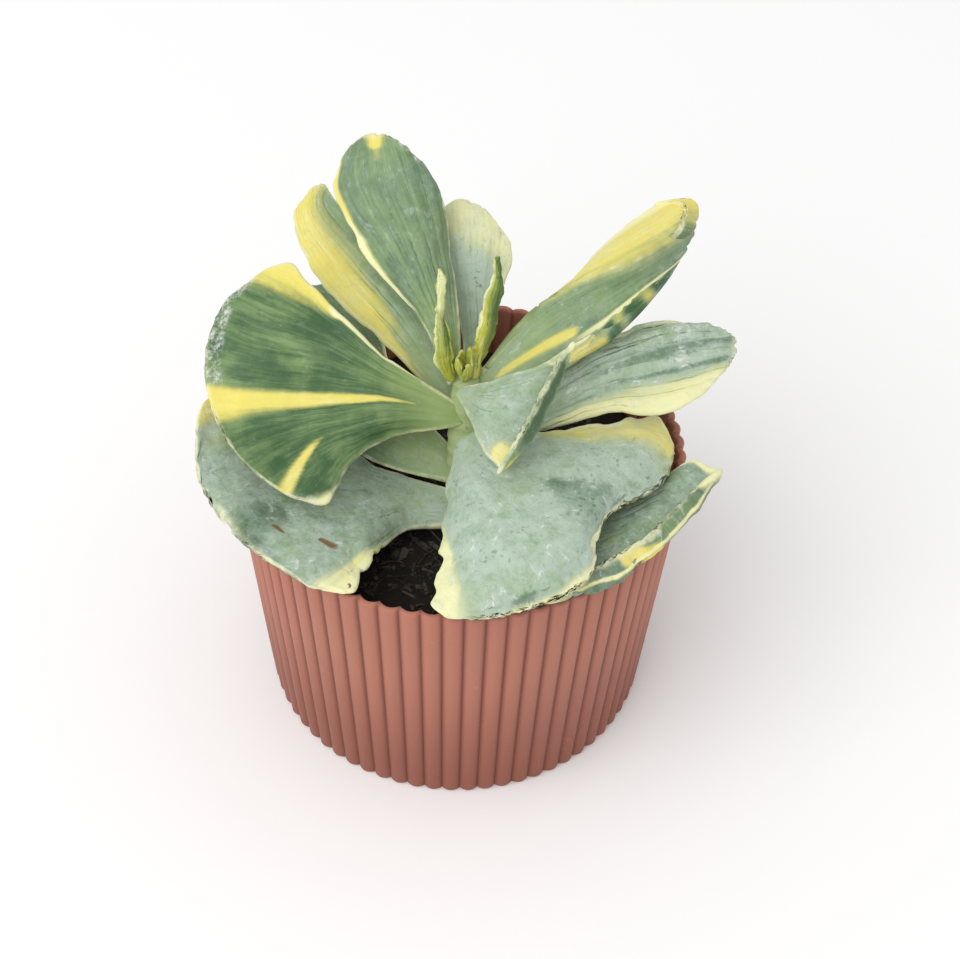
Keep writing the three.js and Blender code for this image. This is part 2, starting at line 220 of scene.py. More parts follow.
floor_mesh = bpy.data.meshes.new("floor")
half = FLOOR_SIZE / 2
corners = [(-half, -half), (half, -half), (half, half), (-half, half)]
floor_mesh.from_pydata([(x, y, -FLOOR_DROP) for x, y in corners], [], [(0, 1, 2, 3)])
floor = bpy.data.objects.new("floor", floor_mesh)
bpy.context.scene.collection.objects.link(floor)
floor_paint, tree, shader = new_material("floor_paint")
floor_tone = noise_value(tree, object_place(tree), 3.0)
floor_colour = mix_colours(tree, floor_tone, *FLOOR_WHITES)
fill(tree, shader, {"Base Color": floor_colour, "Roughness": 0.9})
floor_mesh.materials.append(floor_paint)

sky = bpy.data.worlds.new("sky")
sky.use_nodes = True
sky.node_tree.nodes["Background"].inputs["Color"].default_value = (1, 1, 1, 1)
sky.node_tree.nodes["Background"].inputs["Strength"].default_value = SKY_STRENGTH
bpy.context.scene.world = sky

lamp = bpy.data.objects.new("lamp", bpy.data.lights.new("lamp", "AREA"))
lamp.data.energy = LAMP_WATTS
lamp.data.size = LAMP_SIZE
lamp.location = LAMP_PLACE
lamp.rotation_euler = (LAMP_PLACE - CAMERA_TARGET).to_track_quat("Z", "Y").to_euler()
bpy.context.scene.collection.objects.link(lamp)
bpy.context.scene.view_settings.view_transform = "Standard"
print("lamp to plant, in mm:", round((LAMP_PLACE - CAMERA_TARGET).length / MM))

# %% [markdown]
# ## Geometry Nodes helpers
#
# A tree gets its named inputs first. `run_tree` puts it on an object as a modifier, sets each input
# by its socket's identifier, evaluates it once into a plain mesh and takes the modifier off again, so
# what is left is an ordinary piece.

# %% Geometry Nodes helpers


def new_tree(name, inputs):
    tree = bpy.data.node_groups.new(name, "GeometryNodeTree")
    tree.interface.new_socket("Geometry", in_out="INPUT", socket_type="NodeSocketGeometry")
    for label, kind in inputs.items():
        tree.interface.new_socket(label, in_out="INPUT", socket_type=kind)
    tree.interface.new_socket("Geometry", in_out="OUTPUT", socket_type="NodeSocketGeometry")
    return tree, tree.nodes.new("NodeGroupInput").outputs


def close_tree(tree, geometry, material):
    """Ends a tree in real geometry with one material."""
    real = add_node(tree, "GeometryNodeRealizeInstances", {"Geometry": geometry})
    inputs = {"Geometry": real.outputs[0], "Material": material}
    painted = add_node(tree, "GeometryNodeSetMaterial", inputs)
    out = tree.nodes.new("NodeGroupOutput")
    tree.links.new(painted.outputs[0], out.inputs[0])


def run_tree(obj, tree, values):
    modifier = obj.modifiers.new(tree.name, "NODES")
    modifier.node_group = tree
    for item in tree.interface.items_tree:
        if item.in_out == "INPUT" and item.name in values:
            modifier[item.identifier] = values[item.name]
    depsgraph = bpy.context.evaluated_depsgraph_get()
    made = bpy.data.meshes.new_from_object(obj.evaluated_get(depsgraph))
    obj.modifiers.remove(modifier)
    made.name = obj.name
    obj.data = made


def new_object(name, vertices, edges=(), faces=()):
    mesh = bpy.data.meshes.new(name)
    mesh.from_pydata([tuple(vertex) for vertex in vertices], list(edges), list(faces))
    obj = bpy.data.objects.new(name, mesh)
    bpy.context.scene.collection.objects.link(obj)
    return obj


def ring_quads(rings, sides, first=0):
    """Faces between rings of points. Each starts here, goes on along this ring, then over to the next."""
    quads = []
    for ring in range(rings - 1):
        for k in range(sides):
            here = first + ring * sides + k
            beside = first + ring * sides + (k + 1) % sides
            quads.append((here, beside, beside + sides, here + sides))
    return quads


def place_piece(obj, slot, *nodes):
    """A finished piece rides on the only body and stands for its solids."""
    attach(obj, "root")
    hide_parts(*nodes)
    print(obj.name, "has", sum(len(p.vertices) - 2 for p in obj.data.polygons), "triangles")


# %% [markdown]
# ## The pot's plastic
#
# Dusty pink injection-moulded plastic with a matte skin. The colour is darker down in the valleys of the
# flutes, which is painted shade. The tree that shapes the pot writes how deep each point lies as
# `valley`, and the material reads it back. The foot of the pot is darker than its rim, which is painted
# shade too.

# %% Pot plastic
# Painted shade: the wall is darkened towards the pot's foot, where less light reaches.
FOOT_SHADE_UNEVEN = 12 * MM
FOOT_SHADE_HEIGHTS = (10 * MM, 62 * MM)  # the dark of the foot is full below the first, gone at the second
FOOT_SHADE_STRENGTH = 0.75

pot_plastic, tree, shader = new_material("pot_plastic")
place = object_place(tree)
mottle = noise_value(tree, place, 60.0, 4.0)
pink = mix_colours(tree, mottle, srgb(170, 108, 90), srgb(180, 117, 98))
# Painted shade: the valleys of the flutes are darkened, where shade falls between the crests.
valley = attribute(tree, "valley")["Fac"]
pink = mix_colours(tree, smooth_step(tree, valley, 0.25, 1.0), pink, srgb(140, 84, 68))
# Painted shade, darker towards the foot, with an uneven upper border.
foot_shade_height = total(tree, parts(tree, place)["Z"], product(tree, mottle, FOOT_SHADE_UNEVEN))
painted_foot_shade = smooth_step(tree, foot_shade_height, *FOOT_SHADE_HEIGHTS, FOOT_SHADE_STRENGTH, 0.0)
pink = mix_colours(tree, painted_foot_shade, pink, srgb(132, 74, 58))
dust = smooth_step(tree, noise_value(tree, place, 350.0, 5.0, 0.7), 0.62, 0.8, 0.0, 0.25)
pink = mix_colours(tree, dust, pink, srgb(205, 160, 145))
roughness = smooth_step(tree, mottle, 0.3, 0.7, 0.5, 0.62)
fill(tree, shader, {"Base Color": pink, "Roughness": roughness, "Specular IOR Level": 0.35})
add_bump(tree, shader, noise_value(tree, place, 1500.0, 3.0), 0.05 * MM)
print("nodes in the pot's plastic:", len(tree.nodes))

# %% [markdown]
# ## The pot
#
# The pot is a turned shape with a rule on top: its wall follows 68 round flutes, the same inside and
# out. Modelling one flute and spinning copies of it would leave 68 seams to weld. A Geometry Nodes
# lathe is simpler: the object holds only the outline as a string of points (distance from the axis as
# x, height as z), a grid takes one row per outline point and one column per step around, and each grid
# point is moved to its outline point, pulled in by the flutes' rule and swung round the axis. The
# drainage holes are cut in the same tree.

# %% Outline of the pot
POT_HEIGHT = 75 * MM
RIM_RADIUS = 56 * MM
BASE_RADIUS = 50 * MM
WALL = 1.9 * MM
POT_FLOOR = 2.5 * MM
FOOT_ROUND = 0.8 * MM
RIM_ROUND = WALL / 2
WALL_ROWS = 6
ARC_STEPS = 6
UNDERSIDE_SHARES = (0, 0.3, 0.6, 0.85, 0.94)
INNER_FLOOR_SHARES = (1, 0.93, 0.6, 0.3, 0)


def crest_radius(z):
    return BASE_RADIUS + (RIM_RADIUS - BASE_RADIUS) * z / POT_HEIGHT


def arc(centre_x, centre_z, radius, start, end):
    angles = np.radians(np.linspace(start, end, ARC_STEPS + 1))
    return [(centre_x + radius * math.cos(a), 0, centre_z + radius * math.sin(a)) for a in angles]


wall_heights = np.linspace(FOOT_ROUND, POT_HEIGHT - RIM_ROUND, WALL_ROWS)[1:-1]
inner_floor_radius = crest_radius(POT_FLOOR) - WALL
outline = [(share * BASE_RADIUS, 0, 0) for share in UNDERSIDE_SHARES]
outline += arc(BASE_RADIUS - FOOT_ROUND, FOOT_ROUND, FOOT_ROUND, -90, 0)
outline += [(crest_radius(z), 0, z) for z in wall_heights]
outline += arc(crest_radius(POT_HEIGHT) - RIM_ROUND, POT_HEIGHT - RIM_ROUND, RIM_ROUND, 0, 180)
outline += [(crest_radius(z) - WALL, 0, z) for z in wall_heights[::-1]]
outline += [(share * inner_floor_radius, 0, POT_FLOOR) for share in INNER_FLOOR_SHARES]
print("outline points:", len(outline))

# %% Geometry Nodes lathe: inputs
pot_inputs = {
    "Flutes": "NodeSocketInt",
    "Flute Depth": "NodeSocketFloat",
    "Flute Power": "NodeSocketFloat",
    "Steps Around": "NodeSocketInt",
    "Flutes From Radius": "NodeSocketFloat",
    "Drain Holes": "NodeSocketInt",
    "Drain Radius": "NodeSocketFloat",
    "Drain Circle": "NodeSocketFloat",
    "Plastic": "NodeSocketMaterial",
}
tree, given = new_tree("fluted_lathe", pot_inputs)
fluted_lathe = tree
print("inputs of the lathe:", list(pot_inputs))

# %% [markdown]
# The grid lies in the unit square at first, so a point's x and y say which step around and which row
# of the outline it belongs to. Sample Index reads the outline's point for that row.

# %% Geometry Nodes lathe: grid over the outline
rows = add_node(tree, "GeometryNodeAttributeDomainSize", {"Geometry": given["Geometry"]})
columns = total(tree, given["Steps Around"], 1.0)
grid_inputs = {"Vertices X": columns, "Vertices Y": rows.outputs["Point Count"]}
grid = add_node(tree, "GeometryNodeMeshGrid", grid_inputs)
grid_place = add_node(tree, "GeometryNodeInputPosition").outputs[0]
xyz = parts(tree, grid_place)
turn = product(tree, total(tree, xyz["X"], 0.5), TAU)
last_row = calc(tree, "SUBTRACT", rows.outputs["Point Count"], 1.0)
row = calc(tree, "ROUND", product(tree, total(tree, xyz["Y"], 0.5), last_row))

sample = add_node(
    tree,
    "GeometryNodeSampleIndex",
    {"Geometry": given["Geometry"], "Value": grid_place, "Index": row},
    data_type="FLOAT_VECTOR",
    domain="POINT",
)
outline_point = parts(tree, sample.outputs[0])
print("nodes for the grid:", len(tree.nodes))

# %% [markdown]
# A flute is one hump of a cosine's absolute value, so its valleys are sharp and its crests round. The
# flutes fade in where the floor turns up into the wall.

# %% Geometry Nodes lathe: flutes
FULLY_FLUTED_AT = 1.08  # times the radius at which the flutes begin
POT_WELD = 0.001 * MM

swing = product(tree, turn, product(tree, given["Flutes"], 0.5))
crest = calc(tree, "POWER", calc(tree, "ABSOLUTE", calc(tree, "COSINE", swing)), given["Flute Power"])
depth_share = calc(tree, "SUBTRACT", 1.0, crest)
full_radius = product(tree, given["Flutes From Radius"], FULLY_FLUTED_AT)
fluted = smooth_step(tree, outline_point["X"], given["Flutes From Radius"], full_radius)
valley_share = product(tree, depth_share, fluted)
pulled_in = product(tree, valley_share, given["Flute Depth"])
radius = calc(tree, "SUBTRACT", outline_point["X"], pulled_in)
swung_x = product(tree, radius, calc(tree, "COSINE", turn))
swung_y = product(tree, radius, calc(tree, "SINE", turn))
swung_place = combined(tree, swung_x, swung_y, outline_point["Z"])
store = add_node(
    tree,
    "GeometryNodeStoreNamedAttribute",
    {"Geometry": grid.outputs["Mesh"], "Name": "valley", "Value": valley_share},
    data_type="FLOAT",
    domain="POINT",
)
move_inputs = {"Geometry": store.outputs[0], "Position": swung_place}
moved = add_node(tree, "GeometryNodeSetPosition", move_inputs)
weld_inputs = {"Geometry": moved.outputs[0], "Distance": POT_WELD}
welded = add_node(tree, "GeometryNodeMergeByDistance", weld_inputs)
print("nodes with the flutes:", len(tree.nodes))

# %% [markdown]
# The drills are cylinders set on a small circle. They are made real before the cut, because a Boolean
# takes no instances.

# %% Geometry Nodes lathe: drainage holes
DRILL_SIDES = 24
DRILL_LENGTH = 4 * POT_FLOOR

drill_inputs = {"Vertices": DRILL_SIDES, "Depth": DRILL_LENGTH, "Radius": given["Drain Radius"]}
drill = add_node(tree, "GeometryNodeMeshCylinder", drill_inputs)
ring_inputs = {"Vertices": given["Drain Holes"], "Radius": given["Drain Circle"]}
hole_ring = add_node(tree, "GeometryNodeMeshCircle", ring_inputs)
set_inputs = {"Points": hole_ring.outputs[0], "Instance": drill.outputs["Mesh"]}
drills = add_node(tree, "GeometryNodeInstanceOnPoints", set_inputs)
real_drills = add_node(tree, "GeometryNodeRealizeInstances", {"Geometry": drills.outputs[0]})
drained = add_node(
    tree,
    "GeometryNodeMeshBoolean",
    {"Mesh 1": welded.outputs[0], "Mesh 2": real_drills.outputs[0]},
    operation="DIFFERENCE",
    solver="EXACT",
)
smooth = add_node(tree, "GeometryNodeSetShadeSmooth", {"Geometry": drained.outputs["Mesh"]})
close_tree(tree, smooth.outputs[0], given["Plastic"])
print("nodes in the whole lathe:", len(tree.nodes))

# %% Turn the pot
FLUTES = 68
STEPS_PER_FLUTE = 10
SHARP_EDGE = math.radians(40)
pot_values = {
    "Flutes": FLUTES,
    "Flute Depth": 1.1 * MM,
    "Flute Power": 0.8,
    "Steps Around": FLUTES * STEPS_PER_FLUTE,
    "Flutes From Radius": 44 * MM,
    "Drain Holes": 6,
    "Drain Radius": 3.5 * MM,
    "Drain Circle": 24 * MM,
    "Plastic": pot_plastic,
}
outline_edges = [(i, i + 1) for i in range(len(outline) - 1)]
pot_piece = new_object("fluted_pot", outline, edges=outline_edges)
run_tree(pot_piece, fluted_lathe, pot_values)
pot_piece.data.set_sharp_from_angle(angle=SHARP_EDGE)
place_piece(pot_piece, "pot_plastic", "pot")

# %% [markdown]
# ## Potting soil
#
# The soil is dark peat with bark, fibres and crumbs in it. Its surface is a disc of rings and spokes,
# lifted by noise so that it lies in small clods and falls off towards the wall, closed below by a
# plain plug. What lies loose on it repeats over a thousand times, and is left to Geometry Nodes.

# %% Soil material
soil_dark, tree, shader = new_material("potting_soil")
place = object_place(tree)
lumps = noise_value(tree, place, 500.0, 6.0, 0.7)
soil_colour = mix_colours(tree, lumps, srgb(14, 12, 10), srgb(52, 46, 40))
fill(tree, shader, {"Base Color": soil_colour, "Roughness": 0.95, "Specular IOR Level": 0.2})
add_bump(tree, shader, lumps, 0.6 * MM)
print("nodes in the soil:", len(tree.nodes))

# %% Soil surface
SOIL_RINGS = 60
SOIL_SPOKES = 150
CLOD_HEIGHT = 1.3 * MM
CLOD_SIZE = 5 * MM
CLOD_LAYERS = (1.0, 2.0, 3)  # how fast finer layers weaken, how much finer each is, how many
SOIL_EDGE = 61.0 * MM
SOIL_CROWN = 61.6 * MM
SOIL_BOTTOM = POT_FLOOR + 0.3 * MM
FLUTE_AND_GAP = 1.4 * MM
soil_radius = crest_radius(SOIL_EDGE) - WALL - FLUTE_AND_GAP


def clods(x, y):
    return CLOD_HEIGHT * noise.fractal(Vector((x, y, 0)) / CLOD_SIZE, *CLOD_LAYERS)


def on_circle(radius, spoke):
    angle = spoke / SOIL_SPOKES * TAU
    return radius * math.cos(angle), radius * math.sin(angle)


soil_points = [(0, 0, SOIL_CROWN + clods(0, 0))]
for ring in range(1, SOIL_RINGS + 1):
    share = ring / SOIL_RINGS
    level = SOIL_CROWN + (SOIL_EDGE - SOIL_CROWN) * share**2
    for spoke in range(SOIL_SPOKES):
        x, y = on_circle(share * soil_radius, spoke)
        soil_points.append((x, y, level + clods(x, y)))
bottom_radius = crest_radius(SOIL_BOTTOM) - WALL - FLUTE_AND_GAP
soil_points += [(*on_circle(bottom_radius, spoke), SOIL_BOTTOM) for spoke in range(SOIL_SPOKES)]
soil_faces = [(0, 1 + k, 1 + (k + 1) % SOIL_SPOKES) for k in range(SOIL_SPOKES)]
soil_faces += [(a, d, c, b) for a, b, c, d in ring_quads(SOIL_RINGS + 1, SOIL_SPOKES, first=1)]
soil_faces.append([1 + SOIL_RINGS * SOIL_SPOKES + k for k in reversed(range(SOIL_SPOKES))])
soil_piece = new_object("soil_surface", soil_points, faces=soil_faces)
soil_piece.data.materials.append(soil_dark)
soil_piece.data.shade_smooth()
place_piece(soil_piece, "potting_soil", "soil")

# %% [markdown]
# ## Bits in the soil
#
# Three kinds of bits lie on the soil: crumbs of peat, flat chips of bark and thin fibres. One tree
# scatters points over the top of the soil, short of the wall, puts one bit on each, and turns and
# sizes it by random values with fixed seeds. The bits have few faces, because there are well over a
# thousand of them.

# %% Bark and fibre material
bark_bits, tree, shader = new_material("bark_bits")
place = object_place(tree)
bit_tone = noise_value(tree, place, 260.0, 4.0, 0.7)
bit_share = smooth_step(tree, bit_tone, 0.35, 0.7)
bit_colour = mix_colours(tree, bit_share, srgb(18, 15, 12), srgb(88, 78, 66))
fill(tree, shader, {"Base Color": bit_colour, "Roughness": 0.9})
add_bump(tree, shader, noise_value(tree, place, 1800.0), 0.2 * MM)
print("nodes in the bits' material:", len(tree.nodes))

# %% Geometry Nodes scatter: where the bits lie
bits_inputs = {
    "Bits per Square Metre": "NodeSocketFloat",
    "Lowest Spot": "NodeSocketFloat",
    "Widest Spot": "NodeSocketFloat",
    "Crumb Radius": "NodeSocketFloat",
    "Chip Length": "NodeSocketFloat",
    "Fibre Length": "NodeSocketFloat",
    "Fibre Radius": "NodeSocketFloat",
    "Seed": "NodeSocketInt",
    "Bark": "NodeSocketMaterial",
}
tree, given = new_tree("soil_bits", bits_inputs)
soil_bits = tree
spot = add_node(tree, "GeometryNodeInputPosition").outputs[0]
spread = add_node(tree, "ShaderNodeVectorMath", {0: spot, 1: (1, 1, 0)}, operation="MULTIPLY")
from_axis = add_node(tree, "ShaderNodeVectorMath", {0: spread.outputs[0]}, operation="LENGTH")
on_surface = calc(tree, "GREATER_THAN", parts(tree, spot)["Z"], given["Lowest Spot"])
off_wall = calc(tree, "LESS_THAN", from_axis.outputs["Value"], given["Widest Spot"])
spots_inputs = {
    "Mesh": given["Geometry"],
    "Selection": product(tree, on_surface, off_wall),
    "Density": given["Bits per Square Metre"],
    "Seed": given["Seed"],
}
spots = add_node(tree, "GeometryNodeDistributePointsOnFaces", spots_inputs)
print("nodes for the spots:", len(tree.nodes))

# %% [markdown]
# The bits themselves are the tree's own small shapes: a ball for a crumb, a flat block for a chip,
# and a bent tube for a fibre.

# %% Geometry Nodes scatter: crumb, chip and fibre
CHIP_WIDTH_SHARE = 0.45
CHIP_HEIGHT_SHARE = 0.16
FIBRE_BEND_SHARE = 0.25
FIBRE_STEPS = 8
FIBRE_SIDES = 5

crumb_inputs = {"Radius": given["Crumb Radius"], "Subdivisions": 2}
crumb = add_node(tree, "GeometryNodeMeshIcoSphere", crumb_inputs).outputs["Mesh"]

chip_width = product(tree, given["Chip Length"], CHIP_WIDTH_SHARE)
chip_height = product(tree, given["Chip Length"], CHIP_HEIGHT_SHARE)
chip_size = combined(tree, given["Chip Length"], chip_width, chip_height)
chip_inputs = {"Size": chip_size, "Vertices X": 4, "Vertices Y": 3}
chip = add_node(tree, "GeometryNodeMeshCube", chip_inputs).outputs["Mesh"]

half_length = product(tree, given["Fibre Length"], 0.5)
fibre_bend = product(tree, given["Fibre Length"], FIBRE_BEND_SHARE)
fibre_middle = combined(tree, half_length, fibre_bend, 0)
fibre_end = combined(tree, given["Fibre Length"], 0, 0)
path_inputs = {
    "Resolution": FIBRE_STEPS,
    "Start": (0, 0, 0),
    "Middle": fibre_middle,
    "End": fibre_end,
}
fibre_path = add_node(tree, "GeometryNodeCurveQuadraticBezier", path_inputs).outputs[0]
section_inputs = {"Resolution": FIBRE_SIDES, "Radius": given["Fibre Radius"]}
fibre_section = add_node(tree, "GeometryNodeCurvePrimitiveCircle", section_inputs).outputs[0]
tube_inputs = {"Curve": fibre_path, "Profile Curve": fibre_section, "Fill Caps": True}
fibre = add_node(tree, "GeometryNodeCurveToMesh", tube_inputs).outputs[0]
print("nodes with the shapes:", len(tree.nodes))

# %% [markdown]
# Geometry to Instance gathers the kinds, and Pick Instance then takes one of them for each point.
# Crumbs are in the list twice, so they come up most.

# %% Geometry Nodes scatter: one bit on each spot
TILT = 0.5  # radians, either way
SMALLEST_BIT = (0.4, 0.4, 0.4)
LARGEST_BIT = (1.3, 1.3, 1.2)
TURN_SEED = 3
SIZE_SEED = 5

kinds = tree.nodes.new("GeometryNodeGeometryToInstance")
for shape in (fibre, chip, crumb, crumb):
    tree.links.new(shape, kinds.inputs[0])


def random_vector(low, high, seed):
    inputs = {0: low, 1: high, "Seed": seed}
    return add_node(tree, "FunctionNodeRandomValue", inputs, data_type="FLOAT_VECTOR").outputs[0]


angles = random_vector((-TILT, -TILT, 0), (TILT, TILT, TAU), TURN_SEED)
turns = add_node(tree, "FunctionNodeEulerToRotation", {0: angles})
placed_inputs = {
    "Points": spots.outputs["Points"],
    "Instance": kinds.outputs[0],
    "Pick Instance": True,
    "Rotation": turns.outputs[0],
    "Scale": random_vector(SMALLEST_BIT, LARGEST_BIT, SIZE_SEED),
}
placed = add_node(tree, "GeometryNodeInstanceOnPoints", placed_inputs)
close_tree(tree, placed.outputs[0], given["Bark"])
print("nodes in the whole scatter:", len(tree.nodes))

# %% Scatter the bits
BARE_EDGE = 9 * MM  # no bits this close to the soil's rim, so that none pokes through the wall

bits_values = {
    "Bits per Square Metre": 240000.0,
    "Lowest Spot": SOIL_EDGE - 2 * CLOD_HEIGHT,
    "Widest Spot": soil_radius - BARE_EDGE,
    "Crumb Radius": 0.55 * MM,
    "Chip Length": 3.2 * MM,
    "Fibre Length": 7.5 * MM,
    "Fibre Radius": 0.16 * MM,
    "Seed": 7,
    "Bark": bark_bits,
}
bits_piece = new_object("soil_bits", [])
bits_piece.data = soil_piece.data.copy()
run_tree(bits_piece, soil_bits, bits_values)
place_piece(bits_piece, "potting_soil")

# %% [markdown]
# ## Leaf shapes
#
# Each leaf is described as a dressmaker would, by a few rows of points from its foot at the stem to
# its far edge. A row runs from the left margin to the right one, seen from the foot with the upper
# face up, in millimetres. A smooth curve through the rows gives every point in between. The far
# corners are cut round, and `round_share` says how much of the blade the rounding takes.

